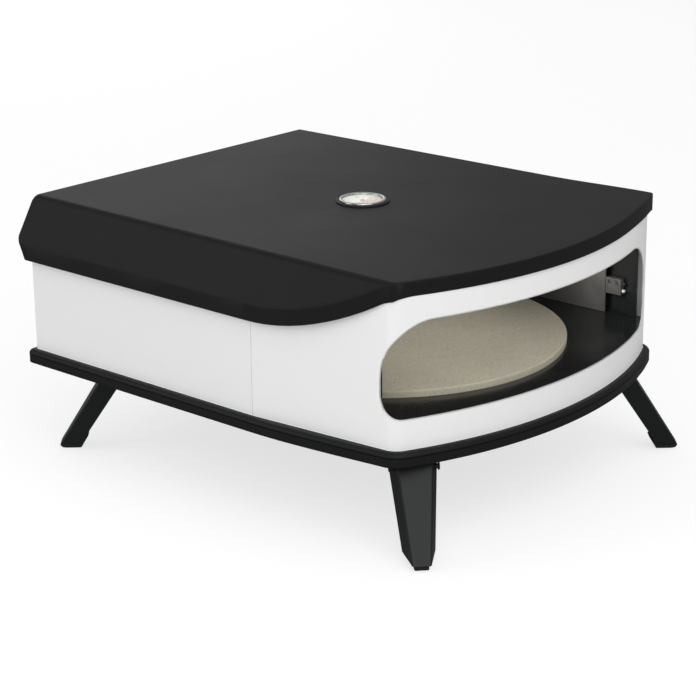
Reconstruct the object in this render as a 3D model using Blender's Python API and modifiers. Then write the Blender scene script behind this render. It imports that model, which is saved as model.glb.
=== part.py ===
"""Portable gas pizza oven with a turning stone, a bent-sheet body and four folding legs.

Metres, +Z up. The mouth faces -Y, and the origin is on the ground, under the middle of
the whole oven's length and width. Every piece is its own object.
"""
import math

import bmesh
import bpy
from mathutils import Matrix, Vector

# Body sheet, seen from above: two flat sides, a bowed front and small front corners
SIDE_ROOM = 0.0326
FRONT_ROOM = 0.0385
BACK_ROOM = 0.1443
WALL_SHEET = 0.0010
FRONT_RADIUS = 0.505
REAR_PANEL_LENGTH = 0.3658
SIDE_TAPER = math.radians(4.65)
CORNER_RADIUS = 0.020
BACK_CORNER_RADIUS = 0.010
CORNER_FROM_FRONT = 0.078
SHOULDER_FROM_FRONT = 0.190
SEAM_GAP = 0.0006
FIT = 0.0003
CUT_OVERRUN = 0.004

# Mouth in the front sheet, as lengths along the bent sheet and heights
MOUTH_NARROWING = 0.0021
MOUTH_SHIFT = -0.010
MOUTH_SILL = 0.0020
MOUTH_HEIGHT = 0.1038
MOUTH_TOP_CORNER = 0.052
MOUTH_BOTTOM_CORNER = 0.017
MOUTH_FLANGE = 0.0070

# Lid
LID_ABOVE_MOUTH = 0.0452
LID_CREASE_INSET = 0.0147
LID_SLOPE = math.radians(66.4)
LID_SKIRT = 0.020
LID_SHEET = 0.0010
LID_SIDE_OVERHANG = 0.0088
LID_FRONT_OVERHANG = 0.0032
LID_BACK_OVERHANG = 0.0032
LID_SHOULDER_OVERHANG = 0.0120
LID_CORNER_RADIUS = 0.0048
LID_BACK_CORNER_RADIUS = 0.0050
LID_EDGE_ROUND = 0.0030
LID_WALL_CLEARANCE = 0.0080

# Base tray
TRAY_BOTTOM = 0.1050
TRAY_HEIGHT = 0.0171
TRAY_SHEET = 0.0012
TRAY_SIDE_OVERHANG = 0.0087
TRAY_FRONT_OVERHANG = 0.0080
TRAY_CORNER_OVERHANG = 0.0100
TRAY_SHOULDER_OVERHANG = 0.0115
TRAY_BACK_OVERHANG = 0.0080
TRAY_BACK_CORNER_RADIUS = 0.0085
TRAY_EDGE_ROUND = 0.0025
TRAY_SHOULDER_ROUND = 0.0055
TRAY_LIP = 0.0095
SHOULDER_SHARE = 1 - math.sqrt(0.5)

# Floor, with its pressed dish for the turning stone
FLOOR_RISE = 0.0351
FLOOR_SHEET = 0.0012
FLOOR_EDGE_GAP = 0.0015
STONE_RADIUS = 0.2165
STONE_THICKNESS = 0.010
STONE_RISE = 0.0070
STONE_BEVEL = 0.0016
STONE_X = -0.0211
DISH_GAP = 0.0015
CARRIER_RADIUS = 0.090
CARRIER_SHEET = 0.0014
CARRIER_HUB_RADIUS = 0.010
CARRIER_HUB_DROP = 0.0025
SPINDLE_RADIUS = 0.0050
SPINDLE_END_GAP = 0.0081
SPINDLE_PLAY = 0.0004
BEARING_WALL = 0.0035
BEARING_FLANGE_RADIUS = 0.022
BEARING_FLANGE_SHEET = 0.0030
SPINDLE_HOLE_PLAY = 0.0020
DRIVE_PIN_RADIUS = 0.004
DRIVE_PIN_CIRCLE = 0.065
DRIVE_PIN_HEIGHT = 0.0030
DRIVE_PIN_COUNT = 3
RAIL_WIDTH = 0.030
RAIL_FLANGE = 0.014
RAIL_SHEET = 0.0012
FRONT_RAIL_INSET = 0.115
REAR_RAIL_INSET = 0.085
RAIL_SIDE_GAP = 0.012

# Inner liner and ceiling
LINER_GAP = 0.0076
LINER_SHEET = 0.0008
LINER_NARROWING = 0.0031
CEILING_DROP = 0.0255
CEILING_SHEET = 0.0008
CEILING_EDGE_GAP = 0.0045
CEILING_SIDE_REACH = 0.0085
INSULATION_EDGE_GAP = 0.0080
INSULATION_SIDE_GAP = 0.0030
INSULATION_THICKNESS = 0.017

# Thermometer in the lid
DIAL_FROM_FRONT = 0.3037
SEAT_RADIUS = 0.0320
SEAT_HEIGHT = 0.0016
BEZEL_RADIUS = 0.0279
BEZEL_HEIGHT = 0.0103
CASE_SINK = 0.0065
BEZEL_WALL = 0.0024
BEZEL_ROUND = 0.0016
BEZEL_LIP = 0.0012
DIAL_SINK = 0.0046
DIAL_SHEET = 0.0006
LENS_SHEET = 0.0012
NEEDLE_LENGTH = 0.0185
NEEDLE_TAIL = 0.0060
NEEDLE_WIDTH = 0.0014
NEEDLE_SHEET = 0.0005
NEEDLE_HUB_RADIUS = 0.0026
NEEDLE_PIN_RADIUS = 0.0007
NEEDLE_REST = math.radians(135.0)
STEM_RADIUS = 0.0032
STEM_LENGTH = 0.0427
THREAD_RADIUS = 0.0055
THREAD_END_LENGTH = 0.0020
NUT_RADIUS = 0.0100
NUT_HEIGHT = 0.0040
NUT_SIDES = 6

# Burner on the right side
BURNER_INSET = 0.0221
BURNER_RADIUS = 0.0065
BURNER_BORE = 0.0054
BURNER_RISE = 0.0185
BURNER_FRONT_FROM_FRONT = 0.170
PORT_RADIUS = 0.0016
PORT_COUNT = 14
PORT_FIRST = 0.030
VENTURI_RADIUS = 0.0100
VENTURI_LENGTH = 0.012
STAND_SHEET = 0.0015
STAND_WIDTH = 0.010
STAND_DROP = 0.0020
STAND_INSET = 0.060
GUARD_SPACING = 0.0080
GUARD_SHEET = 0.0010
GUARD_HEIGHT = 0.040
GUARD_FOLD = 0.0020
SHIELD_CORNER_ROOM = 0.0403
SHIELD_LENGTH = 0.084
SHIELD_HEIGHT = 0.062
GUARD_REAR_GAP = 0.040
IGNITER_LENGTH = 0.022
IGNITER_WIDTH = 0.0074
IGNITER_DROP = 0.020
IGNITER_TOP = 0.0446
ELECTRODE_RADIUS = 0.0022
ELECTRODE_RISE = 0.0050
ELECTRODE_TIP_RADIUS = 0.0009
PROBE_RADIUS = 0.0018
PROBE_RISE = 0.0140
ROD_WALL_GAP = 0.0028
ROD_FRONT_REACH = 0.0030
ROD_BACK_REACH = 0.0120
ROD_JOIN = 0.0040
ROD_TIP_OVERLAP = 0.0120

# Gas control on the back
BOX_WIDTH = 0.070
BOX_DEPTH = 0.046
BOX_HEIGHT = 0.070
BOX_SHEET = 0.0012
BOX_OUTER_MARGIN = 0.003
BOX_ROUND = 0.0040
INJECTOR_LENGTH = 0.007
INJECTOR_RADIUS = 0.0040
VALVE_LENGTH = 0.017
VALVE_RADIUS = 0.0100
INLET_RADIUS = 0.0048
INLET_BARB = 0.0058
INLET_DROP = 0.040
INLET_THREAD = 0.0070
INLET_NUT = 0.0060
INLET_END = 0.0036
VALVE_BRANCH = 0.0150
BARB_SHARES = (0.0, 0.40, 0.45, 0.55, 0.70, 0.75, 0.95, 1.0)
DIAL_RING_RADIUS = 0.0250
DIAL_RING_SHEET = 0.0012
KNOB_RADIUS = 0.0190
KNOB_END_RADIUS = 0.0169
KNOB_SKIRT_RADIUS = 0.0215
KNOB_LENGTH = 0.0170
KNOB_SKIRT = 0.0040
KNOB_GRIPS = 12
KNOB_GRIP_RADIUS = 0.0022
KNOB_TRAVEL = 0.0040
KNOB_CLEARANCE = 0.0008
SHAFT_RADIUS = 0.0030
SHAFT_PLAY = 0.0004
KNOB_BORE_DEPTH = 0.0100

# Folding legs
LEG_LEAN = math.radians(32.2)
LEG_TURN = math.radians(47.2)
LEG_PIN_DROP = 0.0117
LEG_HINGE_INSET = 0.0531
LEG_FRONT_HINGE = 0.0611
LEG_BACK_HINGE = 0.0789
LEG_TOP_WIDTH = 0.0419
LEG_END_WIDTH = 0.0195
LEG_DEPTH = 0.0220
LEG_END_DEPTH = 0.0195
LEG_SPLAY = 0.0069
LEG_SHEET = 0.0015
LEG_TOP_BENDS = (-28.0, 12.0, 50.0, 86.0)
LEG_TOP_RADIUS = 0.0104
PIN_RADIUS = 0.0030
PIN_HEAD_RADIUS = 0.0045
PIN_HEAD = 0.0018
BRACKET_SHEET = 0.0015
BRACKET_WIDTH = 0.0330
BRACKET_IN = 0.0240
BRACKET_OUT = 0.0045
BRACKET_EAR_RADIUS = 0.0070
LEG_CHAMFER = 0.0080
FOOT_HEIGHT = 0.0200
FOOT_HEEL = 0.0125
FOOT_FLAT = 0.0027
FOOT_TOE = 0.0075
FOOT_TOE_RISE = 0.0010
FOOT_SOLE = 0.0045
FOOT_ROUND = 0.0012

# Fasteners
SCREW_RADIUS = 0.0020
SCREW_HEAD_RADIUS = 0.0040
SCREW_HEAD = 0.0022
SCREW_OVERRUN = 0.0020
LID_SCREW_INSET = 0.070

# Smoothness
ARC_STEPS = 10
CORNER_STEPS = 5
SIDE_STEPS = 6
ROUND_STEPS = 32
SMALL_STEPS = 8
FINE_STEPS = 16
STONE_STEPS = 64
MERGE = 0.00001
SMOOTH_ANGLE = math.radians(35.0)
LID_BEVEL_ANGLE = math.radians(19.0)
EDGE_ANGLE = math.radians(30.0)
FLAT_ANGLE = math.radians(1.0)

# Sizes that follow: the body is built round its stone, and its heights stand on the tray
WALL_HALF = STONE_RADIUS + SIDE_ROOM
STONE_FROM_FRONT = STONE_RADIUS + FRONT_ROOM
WALL_LENGTH = STONE_FROM_FRONT + STONE_RADIUS + BACK_ROOM
DISH_RADIUS = STONE_RADIUS + DISH_GAP
WALL_BOTTOM = TRAY_BOTTOM + TRAY_HEIGHT + FIT
FLOOR_TOP = WALL_BOTTOM + FLOOR_RISE
MOUTH_HALF = WALL_HALF - MOUTH_NARROWING
MOUTH_BOTTOM = FLOOR_TOP + MOUTH_SILL
MOUTH_TOP = MOUTH_BOTTOM + MOUTH_HEIGHT
LID_TOP = MOUTH_TOP + LID_ABOVE_MOUTH
LID_CREASE_HALF = WALL_HALF - LID_CREASE_INSET
CORNER_DEPTH = FRONT_RADIUS - math.sqrt(FRONT_RADIUS ** 2 - WALL_HALF ** 2)
SHIELD_FROM_FRONT = CORNER_DEPTH + SHIELD_CORNER_ROOM
LINER_FRONT_ARC = WALL_HALF - LINER_NARROWING
CEILING_HEIGHT = LID_TOP - CEILING_DROP
BURNER_X = WALL_HALF - BURNER_INSET
BURNER_HEIGHT = FLOOR_TOP + BURNER_RISE
GUARD_X = BURNER_X - GUARD_SPACING
LEG_PIN_HEIGHT = TRAY_BOTTOM - LEG_PIN_DROP
LEG_HINGE_X = WALL_HALF - LEG_HINGE_INSET

# Places that follow from the sizes: the body sits so that the whole oven is centred
CONTROL_REACH = BOX_DEPTH + KNOB_TRAVEL + KNOB_CLEARANCE + DIAL_RING_SHEET + KNOB_LENGTH + FIT
BACK_Y = (WALL_LENGTH + TRAY_FRONT_OVERHANG - CONTROL_REACH) / 2
FRONT_Y = BACK_Y - WALL_LENGTH
SEAM_Y = BACK_Y - REAR_PANEL_LENGTH
STONE_Y = FRONT_Y + STONE_FROM_FRONT
STONE_TOP = FLOOR_TOP + STONE_RISE
STONE_BOTTOM = STONE_TOP - STONE_THICKNESS
CARRIER_TOP = STONE_BOTTOM - FIT
DISH_TOP = CARRIER_TOP - CARRIER_SHEET - FIT
DIAL_Y = FRONT_Y + DIAL_FROM_FRONT
TRAY_INSIDE = TRAY_BOTTOM + TRAY_SHEET
TRAY_TOP = WALL_BOTTOM - FIT

parts = bpy.data.collections.new("pizza_oven")
cutters = bpy.data.collections.new("cutters")


def clear_scene():
    for old in list(bpy.data.objects):
        bpy.data.objects.remove(old, do_unlink=True)
    bpy.context.scene.collection.children.link(parts)
    bpy.context.scene.collection.children.link(cutters)


def finish(name, colour, roughness, metallic=0.0):
    """A Principled material with the part's colour, roughness and metallic value."""
    material = bpy.data.materials.new(name)
    material.use_nodes = True
    shader = material.node_tree.nodes["Principled BSDF"]
    shader.inputs["Base Color"].default_value = (*colour, 1.0)
    shader.inputs["Roughness"].default_value = roughness
    shader.inputs["Metallic"].default_value = metallic
    return material


def add(name, bm, look, smooth=True):
    """Turn a bmesh into a named object of the part."""
    mesh = bpy.data.meshes.new(name)
    bmesh.ops.recalc_face_normals(bm, faces=bm.faces)
    bm.to_mesh(mesh)
    bm.free()
    if smooth:
        mesh.shade_smooth()
        mesh.set_sharp_from_angle(angle=SMOOTH_ANGLE)
    mesh.materials.append(look)
    thing = bpy.data.objects.new(name, mesh)
    parts.objects.link(thing)
    return thing


def as_cutter(thing):
    """Move an object to the cutters, shown as wire and left out of the part."""
    parts.objects.unlink(thing)
    cutters.objects.link(thing)
    thing.hide_render = True
    thing.display_type = "WIRE"
    return thing


def boolean(target, tool, operation="DIFFERENCE"):
    modifier = target.modifiers.new(operation.lower(), "BOOLEAN")
    modifier.operation = operation
    modifier.solver = "EXACT"
    modifier.object = tool
    return modifier


def solidify(target, thickness, offset=-1.0):
    modifier = target.modifiers.new("sheet", "SOLIDIFY")
    modifier.thickness = thickness
    modifier.offset = offset
    modifier.solidify_mode = "NON_MANIFOLD"
    modifier.nonmanifold_thickness_mode = "CONSTRAINTS"
    return modifier


def bevel(target, width, angle=EDGE_ANGLE):
    modifier = target.modifiers.new("rounding", "BEVEL")
    modifier.width = width
    modifier.segments = 2
    modifier.limit_method = "ANGLE"
    modifier.angle_limit = angle
    return modifier


def box_mesh(low, high):
    """A box between two corners."""
    bm = bmesh.new()
    bmesh.ops.create_cube(bm, size=1.0)
    size = Vector(high) - Vector(low)
    middle = (Vector(high) + Vector(low)) / 2
    bmesh.ops.scale(bm, vec=size, verts=bm.verts)
    bmesh.ops.translate(bm, vec=middle, verts=bm.verts)
    return bm


def rod_mesh(start, end, radius, steps=FINE_STEPS, end_radius=None):
    """A cylinder or cone from one point to another."""
    start = Vector(start)
    end = Vector(end)
    bm = bmesh.new()
    bmesh.ops.create_cone(bm, cap_ends=True, segments=steps, radius1=radius,
                          radius2=radius if end_radius is None else end_radius,
                          depth=(end - start).length)
    turn = (end - start).to_track_quat("Z", "Y").to_matrix().to_4x4()
    bmesh.ops.transform(bm, matrix=Matrix.Translation((start + end) / 2) @ turn, verts=bm.verts)
    return bm


def merged(*pieces):
    """Several separate bodies in one bmesh."""
    whole = bmesh.new()
    for piece in pieces:
        mesh = bpy.data.meshes.new("piece")
        piece.to_mesh(mesh)
        piece.free()
        whole.from_mesh(mesh)
        bpy.data.meshes.remove(mesh)
    return whole


def turned(name, profile, look, steps=ROUND_STEPS, place=(0.0, 0.0, 0.0)):
    """A turned piece: an (r, z) profile running down its outer side, screwed round Z.

    A profile that ends on its first point is a closed section, for a piece with a bore.
    """
    bm = bmesh.new()
    closed = profile[0] == profile[-1]
    corners = [bm.verts.new((radius, 0.0, height)) for radius, height in profile[:len(profile) - closed]]
    for one, other in zip(corners, corners[1:] + corners[:1] * closed):
        bm.edges.new((one, other))
    mesh = bpy.data.meshes.new(name)
    bm.to_mesh(mesh)
    bm.free()
    mesh.materials.append(look)
    thing = bpy.data.objects.new(name, mesh)
    parts.objects.link(thing)
    screw = thing.modifiers.new("turn", "SCREW")
    screw.steps = steps
    screw.render_steps = steps
    screw.use_merge_vertices = True
    screw.merge_threshold = MERGE
    screw.use_smooth_shade = False
    thing.location = place
    return thing


def plate(name, outlines, thickness, look):
    """A flat plate from 2D outlines (the outside first, then its holes), centred on Z = 0."""
    curve = bpy.data.curves.new(name, "CURVE")
    curve.dimensions = "2D"
    curve.fill_mode = "BOTH"
    curve.extrude = thickness / 2
    for outline in outlines:
        spline = curve.splines.new("POLY")
        spline.points.add(len(outline) - 1)
        for point, (x, y) in zip(spline.points, outline):
            point.co = (x, y, 0.0, 1.0)
        spline.use_cyclic_u = True
    guide = bpy.data.objects.new(name + "_outline", curve)
    cutters.objects.link(guide)
    shape = bpy.data.meshes.new_from_object(guide.evaluated_get(bpy.context.evaluated_depsgraph_get()))
    bpy.data.objects.remove(guide, do_unlink=True)
    bm = bmesh.new()
    bm.from_mesh(shape)
    bpy.data.meshes.remove(shape)
    bmesh.ops.remove_doubles(bm, verts=bm.verts, dist=MERGE)
    return add(name, bm, look, smooth=False)


def shift(thing, offset):
    thing.data.transform(Matrix.Translation(Vector(offset)))
    return thing


def circle(radius, steps=ROUND_STEPS, centre=(0.0, 0.0)):
    turn = 2 * math.pi / steps
    return [(centre[0] + radius * math.cos(turn * i), centre[1] + radius * math.sin(turn * i))
            for i in range(steps)]


class Plan:
    """The body's outline from above, with its outward normals and its length along the sheet."""

    def __init__(self, corner_radius=CORNER_RADIUS, back_corner_radius=BACK_CORNER_RADIUS):
        self.corner_radius = corner_radius
        self.back_corner_radius = back_corner_radius
        self.arc_centre = Vector((0.0, FRONT_Y + FRONT_RADIUS))
        half = self.half_outline()
        lengths = [0.0]
        for one, other in zip(half, half[1:]):
            lengths.append(lengths[-1] + (other[0] - one[0]).length)
        self.half = half
        self.lengths = lengths
        self.seam = next(length for length, (point, _) in zip(lengths, half)
                         if abs(point.y - SEAM_Y) < MERGE)

    def half_outline(self):
        """Points and normals of the right half, from the middle of the front to the middle of the back."""
        seam_point = Vector((WALL_HALF, SEAM_Y))
        side_normal = Vector((math.cos(SIDE_TAPER), -math.sin(SIDE_TAPER)))
        forward = Vector((-math.sin(SIDE_TAPER), -math.cos(SIDE_TAPER)))
        inner = seam_point - side_normal * self.corner_radius - self.arc_centre
        along = inner.dot(forward)
        reach = (FRONT_RADIUS - self.corner_radius) ** 2 - inner.length_squared
        corner = self.arc_centre + inner + forward * (math.sqrt(along ** 2 + reach) - along)
        outward = (corner - self.arc_centre).normalized()
        arc_end = math.atan2(outward.x, -outward.y)
        side_angle = math.pi / 2 - SIDE_TAPER
        points = []

        def turn(centre, radius, first, last, steps):
            for i in range(steps + 1):
                angle = first + (last - first) * i / steps
                normal = Vector((math.sin(angle), -math.cos(angle)))
                points.append((centre + normal * radius, normal))

        turn(self.arc_centre, FRONT_RADIUS, 0.0, arc_end, ARC_STEPS)
        points.pop()
        turn(corner, self.corner_radius, arc_end, side_angle, CORNER_STEPS)
        start = points[-1][0]
        for i in range(1, SIDE_STEPS + 1):
            points.append((start.lerp(seam_point, i / SIDE_STEPS), side_normal))
        back_corner = Vector((WALL_HALF - self.back_corner_radius, BACK_Y - self.back_corner_radius))
        turn(back_corner, self.back_corner_radius, math.pi / 2, math.pi, CORNER_STEPS)
        points.append((Vector((0.0, BACK_Y)), Vector((0.0, 1.0))))
        return points

    def at(self, length, depth=0.0):
        """The point at a length along the sheet, pushed in by a depth; negative is the left side."""
        side = -1.0 if length < 0 else 1.0
        length = min(abs(length), self.lengths[-1])
        i = 1
        while self.lengths[i] < length - MERGE:
            i += 1
        share = (length - self.lengths[i - 1]) / (self.lengths[i] - self.lengths[i - 1])
        point = self.half[i - 1][0].lerp(self.half[i][0], share)
        normal = self.half[i - 1][1].lerp(self.half[i][1], share).normalized()
        place = point - normal * depth
        return Vector((side * place.x, place.y))

    def outline(self, side, front=None, back=None, corner=None, shoulder=None):
        """The whole outline, grown by an overhang that may differ round it."""
        front = side if front is None else front
        back = side if back is None else back
        corner = front if corner is None else corner
        shoulder = side if shoulder is None else shoulder
        drawn_in = min(side, back, 0.0)
        shoulder_end = SEAM_Y - FRONT_Y - SHOULDER_FROM_FRONT
        half = []
        for point, normal in self.half:
            behind = point.y - FRONT_Y
            if point.y > SEAM_Y:
                if point.x > 0.0 and point.y > BACK_Y - self.back_corner_radius - MERGE:
                    half.append(point + Vector((side, back)) + (normal - Vector((1.0, 1.0))) * drawn_in)
                else:
                    half.append(point + Vector((normal.x * side, normal.y * back)))
                continue
            if behind > SHOULDER_FROM_FRONT:
                grow = shoulder + (side - shoulder) * smooth((behind - SHOULDER_FROM_FRONT) / shoulder_end)
            elif behind > CORNER_FROM_FRONT:
                past = (behind - CORNER_FROM_FRONT) / (SHOULDER_FROM_FRONT - CORNER_FROM_FRONT)
                grow = corner + (shoulder - corner) * smooth(past)
            else:
                grow = front + (corner - front) * smooth(point.x / LID_CREASE_HALF)
            half.append(point + normal * grow)
        mirrored = [Vector((-point.x, point.y)) for point in reversed(half[1:-1])]
        return [tuple(point) for point in half + mirrored]


def smooth(value):
    value = min(max(value, 0.0), 1.0)
    return value * value * (3.0 - 2.0 * value)


def lid_height(x):
    """Height of the lid's upper face over a distance from the middle plane."""
    return LID_TOP - max(abs(x) - LID_CREASE_HALF, 0.0) * math.tan(LID_SLOPE)


def ring(bm, outline, height):
    """A closed loop of edges at a height."""
    corners = [bm.verts.new((x, y, height)) for x, y in outline]
    return [bm.edges.new((corners[i - 1], corners[i])) for i in range(len(corners))]


def loft(bm, low, high):
    """Join two closed loops of equal count, corner by corner."""
    for i in range(len(low)):
        bm.faces.new((low[i - 1], low[i], high[i], high[i - 1]))


def loop_corners(bm, outline, height):
    """The corners of a closed loop at a height, without edges."""
    return [bm.verts.new((x, y, height)) for x, y in outline]


def bent_sheet(name, plan, outline, holes, first, last, look, flange=0.0, depth=0.0, centre=0.0):
    """A sheet drawn flat as (length, height), bent round the plan, with a flange round its holes.

    centre is the length of the plan that the sheet's own zero lies on.
    """
    bm = bmesh.new()
    for loop in (outline, *holes):
        corners = [bm.verts.new((length, 0.0, height)) for length, height in loop]
        for i in range(len(corners)):
            bm.edges.new((corners[i - 1], corners[i]))
    bmesh.ops.triangle_fill(bm, edges=bm.edges, use_beauty=True, normal=(0.0, -1.0, 0.0))
    whole = 2 * plan.lengths[-1]
    bends = [length for length in plan.lengths] + [-length for length in plan.lengths]
    bends += [whole - length for length in plan.lengths]
    for bend in sorted(set(bends)):
        if first + MERGE < bend - centre < last - MERGE:
            bmesh.ops.bisect_plane(bm, geom=bm.verts[:] + bm.edges[:] + bm.faces[:], dist=MERGE,
                                   plane_co=(bend - centre, 0.0, 0.0), plane_no=(1.0, 0.0, 0.0))
    for face in bm.faces:
        if face.normal.y > 0:
            face.normal_flip()
    if flange:
        heights = [height for loop in holes for _, height in loop]
        rim = [edge for edge in bm.edges if edge.is_boundary and all(
            min(heights) - MERGE < corner.co.z < max(heights) + MERGE for corner in edge.verts)]
        folded = bmesh.ops.extrude_edge_only(bm, edges=rim)["geom"]
        bmesh.ops.translate(bm, vec=(0.0, flange, 0.0),
                            verts=[corner for corner in folded if isinstance(corner, bmesh.types.BMVert)])
    for corner in bm.verts:
        length = corner.co.x + centre
        inward = depth + corner.co.y
        place = plan.at(length - whole if length > plan.lengths[-1] else length, inward)
        corner.co = (place.x, place.y, corner.co.z)
    mesh = bpy.data.meshes.new(name)
    bm.to_mesh(mesh)
    bm.free()
    mesh.shade_smooth()
    mesh.set_sharp_from_angle(angle=SMOOTH_ANGLE)
    mesh.materials.append(look)
    thing = bpy.data.objects.new(name, mesh)
    parts.objects.link(thing)
    return thing


def mouth_outline():
    """The mouth, drawn flat: wide upper corners and tight lower ones."""
    left = MOUTH_SHIFT - MOUTH_HALF
    right = MOUTH_SHIFT + MOUTH_HALF
    corners = (
        (left + MOUTH_BOTTOM_CORNER, MOUTH_BOTTOM + MOUTH_BOTTOM_CORNER, MOUTH_BOTTOM_CORNER, 180),
        (right - MOUTH_BOTTOM_CORNER, MOUTH_BOTTOM + MOUTH_BOTTOM_CORNER, MOUTH_BOTTOM_CORNER, 270),
        (right - MOUTH_TOP_CORNER, MOUTH_TOP - MOUTH_TOP_CORNER, MOUTH_TOP_CORNER, 0),
        (left + MOUTH_TOP_CORNER, MOUTH_TOP - MOUTH_TOP_CORNER, MOUTH_TOP_CORNER, 90),
    )
    outline = []
    for x, z, radius, start in corners:
        steps = CORNER_STEPS + 1
        for i in range(steps + 1):
            angle = math.radians(start + 90 * i / steps)
            outline.append((x + radius * math.cos(angle), z + radius * math.sin(angle)))
    return outline


def top_edge(plan, first, last, centre=0.0):
    """Points along a sheet's upper edge, under the lid, from the last length back to the first."""
    whole = 2 * plan.lengths[-1]
    bends = {length - centre for length in plan.lengths} | {-length - centre for length in plan.lengths}
    bends |= {whole - length - centre for length in plan.lengths}
    inside = sorted((bend for bend in bends if first + MERGE < bend < last - MERGE), reverse=True)
    edge = []
    for length in [last, *inside, first]:
        place = length + centre
        place = place - whole if place > plan.lengths[-1] else place
        crease_side = lid_height(plan.at(place).x)
        edge.append((length, crease_side - LID_WALL_CLEARANCE))
    return edge


def body_sheets(plan, looks):
    """The white outer sheets: the front with the mouth, and the rear panel that wraps three sides."""
    edge = plan.seam - SEAM_GAP / 2
    outline = [(-edge, WALL_BOTTOM), (edge, WALL_BOTTOM)] + top_edge(plan, -edge, edge)
    front = bent_sheet("front_panel", plan, outline, [mouth_outline()], -edge, edge,
                       looks["white_enamel"], flange=MOUTH_FLANGE)
    solidify(front, WALL_SHEET)
    middle = plan.lengths[-1]
    half = middle - plan.seam - SEAM_GAP / 2
    outline = [(-half, WALL_BOTTOM), (half, WALL_BOTTOM)] + top_edge(plan, -half, half, middle)
    rear = bent_sheet("rear_panel", plan, outline, [], -half, half, looks["white_enamel"], centre=middle)
    solidify(rear, WALL_SHEET)
    hole = rod_mesh((BURNER_X, BACK_Y - CUT_OVERRUN - LINER_GAP, BURNER_HEIGHT),
                    (BURNER_X, BACK_Y + CUT_OVERRUN, BURNER_HEIGHT), BURNER_RADIUS + FIT)
    tool = as_cutter(add("burner_hole", hole, looks["white_enamel"]))
    boolean(rear, tool)
    half = middle - LINER_FRONT_ARC
    outline = [(-half, FLOOR_TOP + FIT), (half, FLOOR_TOP + FIT), (half, CEILING_HEIGHT),
               (-half, CEILING_HEIGHT)]
    liner = bent_sheet("inner_liner", plan, outline, [], -half, half, looks["dark_enamel"],
                       depth=LINER_GAP, centre=middle)
    solidify(liner, LINER_SHEET)
    boolean(liner, tool)


def lid(plan, looks):
    """The lid: flat in the middle, steep at the sides, with a skirt that follows its edge."""
    outline = Plan(LID_CORNER_RADIUS, LID_BACK_CORNER_RADIUS).outline(
        LID_SIDE_OVERHANG, LID_FRONT_OVERHANG, LID_BACK_OVERHANG, shoulder=LID_SHOULDER_OVERHANG)
    bm = bmesh.new()
    bmesh.ops.triangle_fill(bm, edges=ring(bm, outline, 0.0), use_beauty=True, normal=(0.0, 0.0, 1.0))
    for side in (-1.0, 1.0):
        bmesh.ops.bisect_plane(bm, geom=bm.verts[:] + bm.edges[:] + bm.faces[:], dist=MERGE,
                               plane_co=(side * LID_CREASE_HALF, 0.0, 0.0), plane_no=(1.0, 0.0, 0.0))
    for face in bm.faces:
        if face.normal.z < 0:
            face.normal_flip()
    rim = [edge for edge in bm.edges if edge.is_boundary]
    for corner in bm.verts:
        corner.co.z = lid_height(corner.co.x)
    folded = bmesh.ops.extrude_edge_only(bm, edges=rim)["geom"]
    bmesh.ops.translate(bm, vec=(0.0, 0.0, -LID_SKIRT),
                        verts=[corner for corner in folded if isinstance(corner, bmesh.types.BMVert)])
    mesh = bpy.data.meshes.new("lid_cover")
    bmesh.ops.dissolve_limit(bm, angle_limit=FLAT_ANGLE, verts=bm.verts, edges=bm.edges)
    bm.to_mesh(mesh)
    bm.free()
    mesh.materials.append(looks["black_enamel"])
    cover = bpy.data.objects.new("lid_cover", mesh)
    parts.objects.link(cover)
    bevel(cover, LID_EDGE_ROUND, LID_BEVEL_ANGLE)
    solidify(cover, LID_SHEET)
    tool = as_cutter(add("thermometer_hole", rod_mesh(
        (0.0, DIAL_Y, CEILING_HEIGHT - CUT_OVERRUN), (0.0, DIAL_Y, LID_TOP + CUT_OVERRUN),
        THREAD_RADIUS + FIT), looks["steel"]))
    case_hole = as_cutter(add("case_hole", rod_mesh(
        (0.0, DIAL_Y, LID_TOP - CUT_OVERRUN), (0.0, DIAL_Y, LID_TOP + CUT_OVERRUN),
        BEZEL_RADIUS + FIT, ROUND_STEPS), looks["steel"]))
    boolean(cover, case_hole)

    widest = LID_CREASE_HALF + CEILING_SIDE_REACH
    edge = [(min(max(x, -widest), widest), y) for x, y in plan.outline(-CEILING_EDGE_GAP)]
    ceiling = plate("ceiling_plate", [edge], CEILING_SHEET, looks["dark_enamel"])
    shift(ceiling, (0.0, 0.0, CEILING_HEIGHT + FIT + CEILING_SHEET / 2))
    boolean(ceiling, tool)
    widest = LID_CREASE_HALF - INSULATION_SIDE_GAP
    edge = [(min(max(x, -widest), widest), y) for x, y in plan.outline(-INSULATION_EDGE_GAP)]
    blanket = plate("lid_insulation", [edge], INSULATION_THICKNESS, looks["wool"])
    shift(blanket, (0.0, 0.0, CEILING_HEIGHT + CEILING_SHEET + 2 * FIT + INSULATION_THICKNESS / 2))
    boolean(blanket, tool)


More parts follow.
